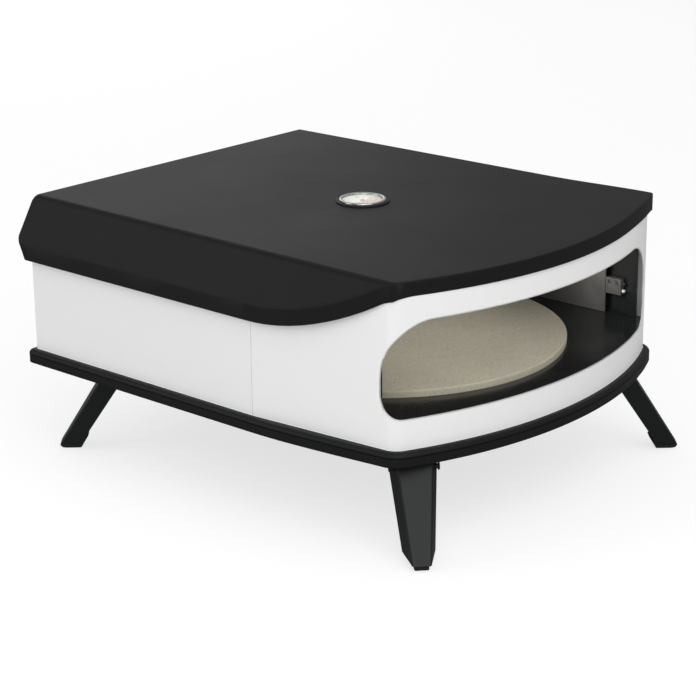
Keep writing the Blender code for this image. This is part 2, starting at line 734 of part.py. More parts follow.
def base(plan, looks):
    """The black base tray, its floor rails and the cooking floor with the stone's dish."""
    bm = bmesh.new()
    shoulder = TRAY_TOP
    inset = TRAY_EDGE_ROUND
    middle = TRAY_SHOULDER_ROUND * SHOULDER_SHARE
    rings = (
        (-inset, TRAY_BOTTOM),
        (0.0, TRAY_BOTTOM + inset),
        (0.0, shoulder - TRAY_SHOULDER_ROUND),
        (-middle, shoulder - middle),
        (-TRAY_SHOULDER_ROUND, shoulder),
        (-TRAY_SHOULDER_ROUND - TRAY_LIP, shoulder),
    )
    tray_plan = Plan(CORNER_RADIUS, TRAY_BACK_CORNER_RADIUS)
    loops = []
    for grow, height in rings:
        outline = tray_plan.outline(
            TRAY_SIDE_OVERHANG + grow, TRAY_FRONT_OVERHANG + grow, TRAY_BACK_OVERHANG + grow,
            TRAY_CORNER_OVERHANG + grow, TRAY_SHOULDER_OVERHANG + grow)
        loops.append(loop_corners(bm, outline, height))
    bm.faces.new(loops[0])
    for lower, upper in zip(loops, loops[1:]):
        loft(bm, lower, upper)
    tray = add("base_tray", bm, looks["black_enamel"])
    solidify(tray, TRAY_SHEET)

    bottom = TRAY_INSIDE + FIT + RAIL_SHEET
    for name, y, carried in (("front_floor_rail", FRONT_Y + FRONT_RAIL_INSET, DISH_TOP),
                             ("rear_floor_rail", BACK_Y - REAR_RAIL_INSET, FLOOR_TOP)):
        rail_top = carried - FLOOR_SHEET - FIT
        half = plan_half_width(plan, y) - RAIL_SIDE_GAP
        section = ((-RAIL_WIDTH / 2 - RAIL_FLANGE, bottom), (-RAIL_WIDTH / 2, bottom),
                   (-RAIL_WIDTH / 2, rail_top), (RAIL_WIDTH / 2, rail_top), (RAIL_WIDTH / 2, bottom),
                   (RAIL_WIDTH / 2 + RAIL_FLANGE, bottom))
        rail = drawn_sheet(name, [(-half, y + across, z) for across, z in section], (2 * half, 0.0, 0.0),
                           looks["galvanised"])
        sheet_below(rail, RAIL_SHEET)

    floor(plan, looks)


def drawn_sheet(name, section, draw, look):
    """An open sheet: a section of points drawn along a vector."""
    bm = bmesh.new()
    corners = [bm.verts.new(point) for point in section]
    edges = [bm.edges.new(pair) for pair in zip(corners, corners[1:])]
    drawn = bmesh.ops.extrude_edge_only(bm, edges=edges)["geom"]
    bmesh.ops.translate(bm, vec=draw, verts=[part for part in drawn if isinstance(part, bmesh.types.BMVert)])
    return add(name, bm, look, smooth=False)


def sheet_below(thing, thickness):
    """Give an open sheet its thickness under its highest face."""
    top = max(thing.data.polygons, key=lambda face: face.center.z)
    solidify(thing, thickness, offset=-1.0 if top.normal.z > 0 else 1.0)


def plan_half_width(plan, y):
    """Half the body's width at a place along its length."""
    before = plan.half[0][0]
    for point, _ in plan.half[1:]:
        if point.y > y:
            share = (y - before.y) / (point.y - before.y)
            return before.lerp(point, share).x
        before = point
    return WALL_HALF


def floor(plan, looks):
    """The cooking floor, one pressed sheet with a round dish and the spindle's hole."""
    centre = (STONE_X, STONE_Y)
    bm = bmesh.new()
    edge = ring(bm, plan.outline(-FLOOR_EDGE_GAP), FLOOR_TOP)
    rim = ring(bm, circle(DISH_RADIUS, STONE_STEPS, centre), FLOOR_TOP)
    low = ring(bm, circle(DISH_RADIUS, STONE_STEPS, centre), DISH_TOP)
    loft(bm, [one.verts[0] for one in rim], [one.verts[0] for one in low])
    bmesh.ops.triangle_fill(bm, edges=edge + rim, use_beauty=True, normal=(0.0, 0.0, 1.0))
    hole = ring(bm, circle(CARRIER_HUB_RADIUS + SPINDLE_HOLE_PLAY, FINE_STEPS, centre), DISH_TOP)
    bmesh.ops.triangle_fill(bm, edges=low + hole, use_beauty=True, normal=(0.0, 0.0, 1.0))
    sheet = add("cooking_floor", bm, looks["dark_enamel"])
    upward = max(sheet.data.polygons, key=lambda face: face.area).normal.z > 0
    solidify(sheet, FLOOR_SHEET, offset=-1.0 if upward else 1.0)


def turntable(looks):
    """The stone, the carrier that turns it and the bearing that the carrier's spindle runs in."""
    place = (STONE_X, STONE_Y, 0.0)
    half = STONE_BEVEL
    stone = turned("baking_stone", [
        (0.0, STONE_TOP), (STONE_RADIUS - half, STONE_TOP), (STONE_RADIUS, STONE_TOP - half),
        (STONE_RADIUS, STONE_BOTTOM + half), (STONE_RADIUS - half, STONE_BOTTOM), (0.0, STONE_BOTTOM)],
        looks["stone"], STONE_STEPS, place)
    pockets = []
    pins = []
    for i in range(DRIVE_PIN_COUNT):
        angle = 2 * math.pi * i / DRIVE_PIN_COUNT
        x = STONE_X + DRIVE_PIN_CIRCLE * math.cos(angle)
        y = STONE_Y + DRIVE_PIN_CIRCLE * math.sin(angle)
        pins.append(rod_mesh((x, y, CARRIER_TOP - CARRIER_SHEET / 2),
                             (x, y, CARRIER_TOP + DRIVE_PIN_HEIGHT), DRIVE_PIN_RADIUS))
        pockets.append(rod_mesh((x, y, STONE_BOTTOM - CUT_OVERRUN),
                                (x, y, CARRIER_TOP + DRIVE_PIN_HEIGHT + FIT), DRIVE_PIN_RADIUS + FIT))
    boolean(stone, as_cutter(add("pin_pockets", merged(*pockets), looks["stone"])))

    under = CARRIER_TOP - CARRIER_SHEET
    hub_foot = under - CARRIER_HUB_DROP
    spindle_end = TRAY_INSIDE + SPINDLE_END_GAP
    carrier = turned("stone_carrier", [
        (0.0, CARRIER_TOP), (CARRIER_RADIUS, CARRIER_TOP), (CARRIER_RADIUS, under),
        (CARRIER_HUB_RADIUS, under), (CARRIER_HUB_RADIUS, hub_foot), (SPINDLE_RADIUS, hub_foot),
        (SPINDLE_RADIUS, spindle_end), (0.0, spindle_end)],
        looks["steel"], ROUND_STEPS, place)
    boolean(carrier, as_cutter(add("drive_pins", merged(*pins), looks["steel"])), "UNION")

    bore = SPINDLE_RADIUS + SPINDLE_PLAY
    outer = bore + BEARING_WALL
    base_low = TRAY_INSIDE + FIT
    base_high = base_low + BEARING_FLANGE_SHEET
    turned("spindle_bearing", [
        (bore, hub_foot - FIT), (outer, hub_foot - FIT), (outer, base_high),
        (BEARING_FLANGE_RADIUS, base_high), (BEARING_FLANGE_RADIUS, base_low), (bore, base_low),
        (bore, hub_foot - FIT)], looks["brass"], ROUND_STEPS, place)


def thermometer(looks):
    """A round dial thermometer through the lid, with its needle on the dial's centre."""
    x, y = 0.0, DIAL_Y
    seat_low = LID_TOP + FIT
    case_low = LID_TOP - CASE_SINK
    case_top = case_low + BEZEL_HEIGHT
    dial_top = case_top - DIAL_SINK
    inner = BEZEL_RADIUS - BEZEL_WALL
    place = (x, y, 0.0)
    turned("thermometer_seat", [
        (BEZEL_RADIUS + FIT, seat_low + SEAT_HEIGHT),
        (SEAT_RADIUS - SEAT_HEIGHT / 2, seat_low + SEAT_HEIGHT),
        (SEAT_RADIUS, seat_low + SEAT_HEIGHT / 2), (SEAT_RADIUS, seat_low),
        (BEZEL_RADIUS + FIT, seat_low), (BEZEL_RADIUS + FIT, seat_low + SEAT_HEIGHT)],
        looks["black_rubber"], ROUND_STEPS, place)
    shelf = dial_top - DIAL_SHEET - FIT
    cup_floor = case_low + BEZEL_WALL / 2
    nut_top = CEILING_HEIGHT
    thread_end = nut_top - NUT_HEIGHT - THREAD_END_LENGTH
    stem_end = case_low - STEM_LENGTH
    turned("thermometer_case", [
        (0.0, cup_floor), (inner, cup_floor), (inner, shelf), (BEZEL_RADIUS, shelf),
        (BEZEL_RADIUS, case_low), (THREAD_RADIUS, case_low), (THREAD_RADIUS, thread_end),
        (STEM_RADIUS, thread_end), (STEM_RADIUS, stem_end), (0.0, stem_end)],
        looks["steel"], ROUND_STEPS, place)
    lens_low = case_top - BEZEL_LIP - FIT - LENS_SHEET
    turned("thermometer_bezel", [
        (inner, case_top), (BEZEL_RADIUS - BEZEL_ROUND, case_top), (BEZEL_RADIUS, case_top - BEZEL_ROUND),
        (BEZEL_RADIUS, dial_top + FIT), (inner + FIT, dial_top + FIT),
        (inner + FIT, case_top - BEZEL_LIP), (inner - BEZEL_WALL / 2, case_top - BEZEL_LIP),
        (inner - BEZEL_WALL / 2, case_top - BEZEL_LIP / 2), (inner, case_top)],
        looks["chrome"], ROUND_STEPS, place)
    turned("thermometer_lens", [
        (0.0, lens_low + LENS_SHEET), (inner, lens_low + LENS_SHEET), (inner, lens_low), (0.0, lens_low)],
        looks["glass"], ROUND_STEPS, place)
    dial_edge = BEZEL_RADIUS - BEZEL_WALL / 4
    turned("thermometer_dial", [
        (NEEDLE_PIN_RADIUS + FIT, dial_top), (dial_edge, dial_top), (dial_edge, dial_top - DIAL_SHEET),
        (NEEDLE_PIN_RADIUS + FIT, dial_top - DIAL_SHEET), (NEEDLE_PIN_RADIUS + FIT, dial_top)],
        looks["dial"], ROUND_STEPS, place)
    low = dial_top + FIT
    blade = plate("thermometer_needle", [[
        (-NEEDLE_WIDTH, -NEEDLE_TAIL), (NEEDLE_WIDTH, -NEEDLE_TAIL), (NEEDLE_WIDTH / 2, 0.0),
        (NEEDLE_WIDTH / 4, NEEDLE_LENGTH), (-NEEDLE_WIDTH / 4, NEEDLE_LENGTH), (-NEEDLE_WIDTH / 2, 0.0)]],
        NEEDLE_SHEET, looks["needle"])
    blade.data.transform(Matrix.Rotation(NEEDLE_REST, 4, "Z"))
    shift(blade, (0.0, 0.0, low + NEEDLE_SHEET / 2))
    blade.location = place
    pin = rod_mesh((x, y, cup_floor + FIT), (x, y, low + NEEDLE_SHEET / 2), NEEDLE_PIN_RADIUS)
    hub = rod_mesh((x, y, low), (x, y, low + NEEDLE_SHEET * 2), NEEDLE_HUB_RADIUS)
    for name, mesh in (("needle_pin", pin), ("needle_hub", hub)):
        boolean(blade, as_cutter(add(name, mesh, looks["needle"])), "UNION")
    nut_low = nut_top - NUT_HEIGHT
    nut = add("thermometer_nut", rod_mesh((x, y, nut_low), (x, y, nut_top), NUT_RADIUS, NUT_SIDES),
              looks["steel"], smooth=False)
    boolean(nut, as_cutter(add("nut_bore", rod_mesh(
        (x, y, nut_low - CUT_OVERRUN), (x, y, nut_top + CUT_OVERRUN), THREAD_RADIUS + FIT),
        looks["steel"])))


def burner(looks):
    """The burner tube along the right side, with its stands, guard, shield, igniter and probe."""
    front = FRONT_Y + BURNER_FRONT_FROM_FRONT
    back = BACK_Y + VENTURI_LENGTH
    axis = (BURNER_X, BURNER_HEIGHT)
    closed_end = front + BURNER_RADIUS / 2
    mouth_wall = VENTURI_RADIUS - BURNER_RADIUS + BURNER_BORE
    tube = turned("burner_tube", [
        (0.0, -front), (BURNER_RADIUS, -front), (BURNER_RADIUS, -BACK_Y), (VENTURI_RADIUS, -back),
        (mouth_wall, -back), (BURNER_BORE, -BACK_Y), (BURNER_BORE, -closed_end), (0.0, -closed_end)],
        looks["steel"], FINE_STEPS, (axis[0], 0.0, axis[1]))
    tube.rotation_euler = (math.pi / 2, 0.0, 0.0)
    run = BACK_Y - LINER_GAP - 2 * PORT_FIRST - front
    ports = []
    for i in range(PORT_COUNT):
        y = front + PORT_FIRST + run * i / (PORT_COUNT - 1)
        ports.append(rod_mesh((axis[0], y, axis[1]), (axis[0], y, axis[1] + BURNER_RADIUS + CUT_OVERRUN),
                              PORT_RADIUS, SMALL_STEPS))
    boolean(tube, as_cutter(add("burner_ports", merged(*ports), looks["steel"])))

    low = FLOOR_TOP + FIT
    seat = as_cutter(add("stand_seat", rod_mesh((axis[0], front, axis[1]), (axis[0], BACK_Y, axis[1]),
                                                BURNER_RADIUS + FIT), looks["steel"]))
    for name, y in (("front_burner_stand", front + STAND_INSET),
                    ("rear_burner_stand", BACK_Y - LINER_GAP - STAND_INSET)):
        stand = add(name, box_mesh((axis[0] - STAND_WIDTH / 2, y, low),
                                   (axis[0] + STAND_WIDTH / 2, y + STAND_SHEET, axis[1] - STAND_DROP)),
                    looks["steel"], smooth=False)
        boolean(stand, seat)

    shield_front = FRONT_Y + SHIELD_FROM_FRONT
    shield_back = shield_front + SHIELD_LENGTH
    guard_plate("igniter_shield", shield_front, shield_back - FIT, SHIELD_HEIGHT, looks, GUARD_FOLD)
    guard_plate("flame_guard", shield_back, BACK_Y - GUARD_REAR_GAP, GUARD_HEIGHT, looks)

    top = low + IGNITER_TOP
    foot = top - IGNITER_DROP
    bracket_back = shield_front - FIT
    bracket_front = bracket_back - IGNITER_LENGTH
    bracket = add("igniter_bracket", box_mesh(
        (GUARD_X, bracket_front, foot), (GUARD_X + IGNITER_WIDTH, bracket_back, top)),
        looks["dark_steel"], smooth=False)
    rod_x = GUARD_X + IGNITER_WIDTH - ROD_WALL_GAP
    rod_front = bracket_front - ROD_FRONT_REACH
    rod_back = bracket_back + ROD_BACK_REACH
    for name, radius, rise, look in (
            ("igniter_electrode", ELECTRODE_RADIUS, ELECTRODE_RISE, looks["ceramic"]),
            ("flame_probe", PROBE_RADIUS, PROBE_RISE, looks["steel"])):
        z = foot + rise
        hole = rod_mesh((rod_x, bracket_front - CUT_OVERRUN, z), (rod_x, bracket_back + CUT_OVERRUN, z),
                        radius + FIT)
        boolean(bracket, as_cutter(add(name + "_hole", hole, look)))
        rod = add(name, rod_mesh((rod_x, rod_front, z), (rod_x, rod_back, z), radius), look)
        tip = rod_mesh((rod_x, rod_back - ROD_JOIN, z), (rod_x, front + ROD_TIP_OVERLAP, z),
                       ELECTRODE_TIP_RADIUS, SMALL_STEPS)
        boolean(rod, as_cutter(add(name + "_tip", tip, look)), "UNION")


def guard_plate(name, front, back, height, looks, fold=None):
    """An upright plate beside the burner; a fold turns its front edge towards the wall."""
    low = FLOOR_TOP + FIT
    bm = bmesh.new()
    path = ((GUARD_X, front), (GUARD_X, back))
    if fold:
        path = ((GUARD_X + fold, front), *path)
    corners = [bm.verts.new((x, y, low)) for x, y in path]
    edges = [bm.edges.new(pair) for pair in zip(corners, corners[1:])]
    drawn = bmesh.ops.extrude_edge_only(bm, edges=edges)["geom"]
    bmesh.ops.translate(bm, vec=(0.0, 0.0, height),
                        verts=[corner for corner in drawn if isinstance(corner, bmesh.types.BMVert)])
    thing = add(name, bm, looks["dark_steel"], smooth=False)
    side = max(thing.data.polygons, key=lambda face: face.area)
    solidify(thing, GUARD_SHEET, offset=-1.0 if side.normal.x < 0 else 1.0)


def gas_control(looks):
    """The gas control on the back: cover, valve, shaft, knob, scale ring, injector and hose nipple."""
    x, z = BURNER_X, BURNER_HEIGHT
    high_x = WALL_HALF - BOX_OUTER_MARGIN
    low_x = high_x - BOX_WIDTH
    low_z = z - BOX_HEIGHT / 2
    face = BACK_Y + BOX_DEPTH
    high_z = low_z + BOX_HEIGHT
    shell = box_mesh((low_x, BACK_Y + FIT, low_z), (high_x, face, high_z))
    wall_side = min(shell.faces, key=lambda side: side.calc_center_median().y)
    bmesh.ops.delete(shell, geom=[wall_side], context="FACES_ONLY")
    cover = add("control_cover", shell, looks["black_coat"])
    bevel(cover, BOX_ROUND)
    solidify(cover, BOX_SHEET)
    shaft_hole = rod_mesh((x, face - BOX_SHEET - CUT_OVERRUN, z), (x, face + CUT_OVERRUN, z),
                          SHAFT_RADIUS + SHAFT_PLAY)
    boolean(cover, as_cutter(add("shaft_hole", shaft_hole, looks["black_coat"])))
    valve_back = face - BOX_SHEET - FIT
    valve_front = valve_back - VALVE_LENGTH
    nose = valve_front - INJECTOR_LENGTH
    inlet_y = (valve_back + valve_front) / 2
    inlet_hole = rod_mesh((x, inlet_y, low_z - CUT_OVERRUN), (x, inlet_y, low_z + BOX_SHEET + CUT_OVERRUN),
                          INLET_THREAD + FIT)
    boolean(cover, as_cutter(add("inlet_hole", inlet_hole, looks["black_coat"])))

    valve = add("gas_valve", rod_mesh((x, valve_front, z), (x, valve_back, z), VALVE_RADIUS), looks["brass"])
    branch = rod_mesh((x, inlet_y, z - VALVE_BRANCH), (x, inlet_y, z), INLET_THREAD)
    boolean(valve, as_cutter(add("valve_branch", branch, looks["brass"])), "UNION")
    shaft_depth = VALVE_LENGTH / 2
    socket = rod_mesh((x, valve_back - shaft_depth - KNOB_TRAVEL, z), (x, valve_back + CUT_OVERRUN, z),
                      SHAFT_RADIUS + SHAFT_PLAY)
    boolean(valve, as_cutter(add("valve_socket", socket, looks["brass"])))
    add("gas_injector", rod_mesh((x, nose, z), (x, valve_front - FIT, z), INJECTOR_RADIUS / 2,
                                 end_radius=INJECTOR_RADIUS), looks["brass"])

    branch_end = z - VALVE_BRANCH - FIT
    radii = (INLET_NUT, INLET_NUT, INLET_RADIUS, INLET_BARB, INLET_RADIUS, INLET_BARB, INLET_RADIUS,
             INLET_END)
    profile = [(0.0, branch_end)]
    profile += [(radius, branch_end - INLET_DROP * share) for radius, share in zip(radii, BARB_SHARES)]
    turned("gas_inlet", profile + [(0.0, branch_end - INLET_DROP)], looks["brass"], FINE_STEPS,
           (x, inlet_y, 0.0))

    ring_back = face + FIT + DIAL_RING_SHEET
    disc = rod_mesh((x, face + FIT, z), (x, ring_back, z), DIAL_RING_RADIUS, ROUND_STEPS)
    scale_ring = add("knob_scale", disc, looks["steel"])
    boolean(scale_ring, as_cutter(add("scale_bore", rod_mesh(
        (x, face - CUT_OVERRUN, z), (x, ring_back + CUT_OVERRUN, z), SHAFT_RADIUS + SHAFT_PLAY),
        looks["steel"])))

    knob_front = ring_back + KNOB_TRAVEL + KNOB_CLEARANCE
    knob_back = knob_front + KNOB_LENGTH
    add("valve_shaft", rod_mesh((x, valve_back - shaft_depth, z), (x, knob_front + KNOB_BORE_DEPTH - FIT, z),
                                SHAFT_RADIUS), looks["brass"])
    knob = add("control_knob", rod_mesh((x, knob_front + KNOB_SKIRT / 2, z), (x, knob_back, z), KNOB_RADIUS,
                                        ROUND_STEPS, end_radius=KNOB_END_RADIUS), looks["black_rubber"])
    skirt = rod_mesh((x, knob_front, z), (x, knob_front + KNOB_SKIRT, z), KNOB_SKIRT_RADIUS, ROUND_STEPS)
    boolean(knob, as_cutter(add("knob_skirt", skirt, looks["black_rubber"])), "UNION")
    grips = []
    for i in range(KNOB_GRIPS):
        angle = math.pi * (2 * i + 1) / KNOB_GRIPS
        gx = x + KNOB_RADIUS * math.cos(angle)
        gz = z + KNOB_RADIUS * math.sin(angle)
        grips.append(rod_mesh((gx, knob_front + KNOB_SKIRT * 3 / 2, gz), (gx, knob_back + CUT_OVERRUN, gz),
                              KNOB_GRIP_RADIUS, SMALL_STEPS))
    boolean(knob, as_cutter(add("knob_grips", merged(*grips), looks["black_rubber"])))
    bore = rod_mesh((x, knob_front - CUT_OVERRUN, z), (x, knob_front + KNOB_BORE_DEPTH, z),
                    SHAFT_RADIUS + SHAFT_PLAY)
    boolean(knob, as_cutter(add("knob_bore", bore, looks["black_rubber"])))


def leg(name, hinge, turn, looks):
    """One folding leg: bracket and pin under the tray, pressed channel leg and rubber foot.

    In the leg's own frame +X points outwards, Y is the pin and the origin is the pin's middle.
    """
    stand = bpy.data.objects.new(name + "_hinge", None)
    parts.objects.link(stand)
    stand.location = hinge
    stand.rotation_euler = (0.0, 0.0, turn)
    swing = bpy.data.objects.new(name + "_lean", None)
    parts.objects.link(swing)
    swing.parent = stand
    swing.rotation_euler = (0.0, -LEG_LEAN, 0.0)

    top = LEG_TOP_RADIUS
    end = -LEG_PIN_HEIGHT / math.cos(LEG_LEAN) - LEG_DEPTH * math.tan(LEG_LEAN)
    ground = Vector((math.sin(LEG_LEAN), 0.0, math.cos(LEG_LEAN)))
    half = LEG_DEPTH / 2
    bm = bmesh.new()
    corners = [bm.verts.new(place) for place in (
        (half, -LEG_END_WIDTH / 2, end), (half, LEG_END_WIDTH / 2, end),
        (half, LEG_TOP_WIDTH / 2, top), (half, -LEG_TOP_WIDTH / 2, top))]
    bm.faces.new(corners)
    for side, edge in ((-1.0, (corners[0], corners[3])), (1.0, (corners[1], corners[2]))):
        long_edge = bm.edges.get(edge)
        drawn = bmesh.ops.extrude_edge_only(bm, edges=[long_edge])["geom"]
        for corner in drawn:
            if isinstance(corner, bmesh.types.BMVert):
                depth = LEG_END_DEPTH if corner.co.z < 0 else LEG_DEPTH
                corner.co.x -= depth
                corner.co.y += side * LEG_SPLAY * depth / LEG_DEPTH
    for angle in LEG_TOP_BENDS:
        lean = math.radians(angle)
        normal = Vector((-math.sin(lean), 0.0, math.cos(lean)))
        bmesh.ops.bisect_plane(bm, geom=bm.verts[:] + bm.edges[:] + bm.faces[:], dist=MERGE,
                               plane_co=normal * LEG_TOP_RADIUS, plane_no=normal,
                               clear_outer=angle != LEG_TOP_BENDS[-1])
    level = ground * (FOOT_SOLE + FIT + LEG_SHEET * ground.x - LEG_PIN_HEIGHT)
    bmesh.ops.bisect_plane(bm, geom=bm.verts[:] + bm.edges[:] + bm.faces[:], dist=MERGE,
                           plane_co=level, plane_no=-ground, clear_outer=True)
    heel = half - LEG_END_DEPTH
    corner = Vector((heel, 0.0, (level.dot(ground) - heel * ground.x) / ground.z))
    slant = Vector((-1.0, 0.0, -1.0)).normalized()
    bmesh.ops.bisect_plane(bm, geom=bm.verts[:] + bm.edges[:] + bm.faces[:], dist=MERGE,
                           plane_co=corner + Vector((LEG_CHAMFER, 0.0, 0.0)), plane_no=slant,
                           clear_outer=True)
    channel = add(name, bm, looks["leg_coat"], smooth=False)
    web = max(channel.data.polygons, key=lambda face: abs(face.normal.x) * face.area)
    solidify(channel, LEG_SHEET, offset=-1.0 if web.normal.x > 0 else 1.0)
    channel.parent = swing
    pin_hole = as_cutter(add(name + "_pin_hole", rod_mesh(
        (0.0, -LEG_TOP_WIDTH, 0.0), (0.0, LEG_TOP_WIDTH, 0.0), PIN_RADIUS + FIT), looks["steel"]))
    pin_hole.parent = swing
    boolean(channel, pin_hole)

    foot(name, stand, half, looks)

    outer = LEG_TOP_WIDTH / 2 + LEG_SPLAY * (half + PIN_HEAD_RADIUS) / LEG_DEPTH + FIT
    pin = rod_mesh((0.0, -outer - PIN_HEAD / 2, 0.0), (0.0, outer + PIN_HEAD / 2, 0.0), PIN_RADIUS)
    pin_piece = add(name + "_pin", pin, looks["steel"])
    heads = merged(
        rod_mesh((0.0, -outer - PIN_HEAD, 0.0), (0.0, -outer, 0.0), PIN_HEAD_RADIUS),
        rod_mesh((0.0, outer, 0.0), (0.0, outer + PIN_HEAD, 0.0), PIN_HEAD_RADIUS))
    head_tool = as_cutter(add(name + "_pin_heads", heads, looks["steel"]))
    boolean(pin_piece, head_tool, "UNION")
    pin_piece.parent = stand
    head_tool.parent = stand

    rise = TRAY_BOTTOM - FIT - LEG_PIN_HEIGHT
    bm = bmesh.new()
    section = ((-BRACKET_WIDTH / 2, -BRACKET_EAR_RADIUS), (-BRACKET_WIDTH / 2, rise),
               (BRACKET_WIDTH / 2, rise), (BRACKET_WIDTH / 2, -BRACKET_EAR_RADIUS))
    ends = [bm.verts.new((-BRACKET_IN, y, height)) for y, height in section]
    edges = [bm.edges.new(pair) for pair in zip(ends, ends[1:])]
    drawn = bmesh.ops.extrude_edge_only(bm, edges=edges)["geom"]
    bmesh.ops.translate(bm, vec=(BRACKET_IN + BRACKET_OUT, 0.0, 0.0),
                        verts=[corner for corner in drawn if isinstance(corner, bmesh.types.BMVert)])
    inner_low = Vector((-BRACKET_IN, 0.0, rise - BRACKET_SHEET * 2))
    inner_cut = Vector((-BRACKET_EAR_RADIUS, 0.0, -BRACKET_EAR_RADIUS))
    slant = (inner_cut - inner_low).cross(Vector((0.0, 1.0, 0.0))).normalized()
    bmesh.ops.bisect_plane(bm, geom=bm.verts[:] + bm.edges[:] + bm.faces[:], dist=MERGE,
                           plane_co=inner_low, plane_no=slant if slant.z < 0 else -slant, clear_outer=True)
    bracket = add(name + "_bracket", bm, looks["black_coat"], smooth=False)
    roof = max(bracket.data.polygons, key=lambda face: face.center.z)
    solidify(bracket, BRACKET_SHEET, offset=-1.0 if roof.normal.z > 0 else 1.0)
    bracket.parent = stand
    bore = as_cutter(add(name + "_bracket_bore", rod_mesh(
        (0.0, -LEG_TOP_WIDTH, 0.0), (0.0, LEG_TOP_WIDTH, 0.0), PIN_RADIUS + FIT), looks["steel"]))
    bore.parent = stand
    boolean(bracket, bore)


def foot(name, stand, half, looks):
    """A rubber foot plugged into the leg's end, with a flat sole and a heel on its open side.

    Its side outline is drawn in the bracket's frame, which isn't leant over.
    """
    slope = math.tan(LEG_LEAN)
    across = 1 / math.cos(LEG_LEAN)
    axis = LEG_PIN_HEIGHT * slope
    face = axis + (half - LEG_SHEET - FIT) * across
    toe = axis + half * across
    inner = axis - (LEG_END_DEPTH - half) * across
    outline = [
        (axis - FOOT_HEEL, 0.0), (axis + FOOT_FLAT, 0.0), (axis + FOOT_TOE, FOOT_TOE_RISE),
        (toe - FOOT_SOLE * slope, FOOT_SOLE), (face - FOOT_SOLE * slope, FOOT_SOLE),
        (face - FOOT_HEIGHT * slope, FOOT_HEIGHT), (inner - FOOT_HEIGHT * slope, FOOT_HEIGHT)]
    half_width = LEG_END_WIDTH / 2 - LEG_SHEET - FIT
    bm = bmesh.new()
    side = bm.faces.new([bm.verts.new((x, -half_width, z - LEG_PIN_HEIGHT)) for x, z in outline])
    drawn = bmesh.ops.extrude_face_region(bm, geom=[side])["geom"]
    bmesh.ops.translate(bm, vec=(0.0, 2 * half_width, 0.0),
                        verts=[corner for corner in drawn if isinstance(corner, bmesh.types.BMVert)])
    plug = add(name + "_foot", bm, looks["black_rubber"])
    bevel(plug, FOOT_ROUND)
    plug.parent = stand


def legs(looks):
    front = FRONT_Y + LEG_FRONT_HINGE
    back = BACK_Y - LEG_BACK_HINGE
    places = (
        ("front_left_leg", -LEG_HINGE_X, front, math.pi + LEG_TURN),
        ("front_right_leg", LEG_HINGE_X, front, -LEG_TURN),
        ("rear_left_leg", -LEG_HINGE_X, back, math.pi - LEG_TURN),
        ("rear_right_leg", LEG_HINGE_X, back, LEG_TURN),
    )
    for name, x, y, turn in places:
        leg(name, (x, y, LEG_PIN_HEIGHT), turn, looks)


def screw_mesh(place, direction, length):
    """A screw whose head's underside is at a place and whose shank runs along a direction."""
    place = Vector(place)
    direction = Vector(direction).normalized()
    return (rod_mesh(place - direction * SCREW_HEAD, place, SCREW_HEAD_RADIUS, FINE_STEPS),
            rod_mesh(place - direction * SCREW_HEAD / 2, place + direction * length, SCREW_RADIUS,
                     SMALL_STEPS))


def screw(name, place, direction, length, look):
    """One screw, its head joined to its shank."""
    head, shank = screw_mesh(place, direction, length)
    thing = add(name, head, look)
    boolean(thing, as_cutter(add(name + "_shank", shank, look)), "UNION")
    return thing


def fasteners(looks):
    """The screws that hold the lid to the back."""
    back = BACK_Y + LID_BACK_OVERHANG
    height = LID_TOP - LID_SKIRT / 2
    spread = LID_CREASE_HALF - LID_SCREW_INSET
    length = LID_BACK_OVERHANG + WALL_SHEET + SCREW_OVERRUN
    holes = []
    for name, x in (("left_lid_screw", -spread), ("middle_lid_screw", 0.0), ("right_lid_screw", spread)):
        screw(name, (x, back + FIT, height), (0.0, -1.0, 0.0), length, looks["steel"])
        holes.append(rod_mesh((x, back + CUT_OVERRUN, height), (x, BACK_Y - LINER_GAP + FIT, height),
                              SCREW_RADIUS + FIT, SMALL_STEPS))
    tool = as_cutter(add("lid_screw_holes", merged(*holes), looks["steel"]))
    for target in ("lid_cover", "rear_panel"):
        boolean(bpy.data.objects[target], tool)


def main():
    clear_scene()
    looks = {
        "white_enamel": finish("white_enamel", (0.76, 0.76, 0.75), 0.30),
        "black_enamel": finish("black_enamel", (0.045, 0.045, 0.045), 0.42),
        "dark_enamel": finish("dark_enamel", (0.025, 0.026, 0.028), 0.22),
        "dark_steel": finish("dark_steel", (0.05, 0.052, 0.052), 0.40, 0.6),
        "black_coat": finish("black_coat", (0.02, 0.02, 0.02), 0.45),
        "leg_coat": finish("leg_coat", (0.047, 0.050, 0.053), 0.45),
        "black_rubber": finish("black_rubber", (0.018, 0.018, 0.018), 0.75),
        "steel": finish("steel", (0.56, 0.56, 0.55), 0.32, 1.0),
        "galvanised": finish("galvanised", (0.55, 0.56, 0.57), 0.45, 1.0),
        "chrome": finish("chrome", (0.78, 0.78, 0.78), 0.12, 1.0),
        "brass": finish("brass", (0.70, 0.52, 0.22), 0.30, 1.0),
        "ceramic": finish("ceramic", (0.80, 0.78, 0.72), 0.40),
        "stone": finish("stone", (0.46, 0.42, 0.32), 0.85),
        "wool": finish("wool", (0.85, 0.84, 0.80), 0.95),
        "dial": finish("dial", (0.75, 0.74, 0.66), 0.50),
        "needle": finish("needle", (0.55, 0.05, 0.03), 0.45),
        "glass": finish("glass", (0.90, 0.92, 0.92), 0.05),
    }
    plan = Plan()
    body_sheets(plan, looks)
    lid(plan, looks)
    base(plan, looks)
    turntable(looks)
    thermometer(looks)
    burner(looks)
    gas_control(looks)
    legs(looks)
    fasteners(looks)


main()
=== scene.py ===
"""Looks of a portable gas pizza oven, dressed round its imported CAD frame.

Metres, +Z up, the mouth towards -Y. Each sub-assembly is a class that holds its sizes,
builds its meshes with bmesh operators and dresses them in the oven's finishes.
"""

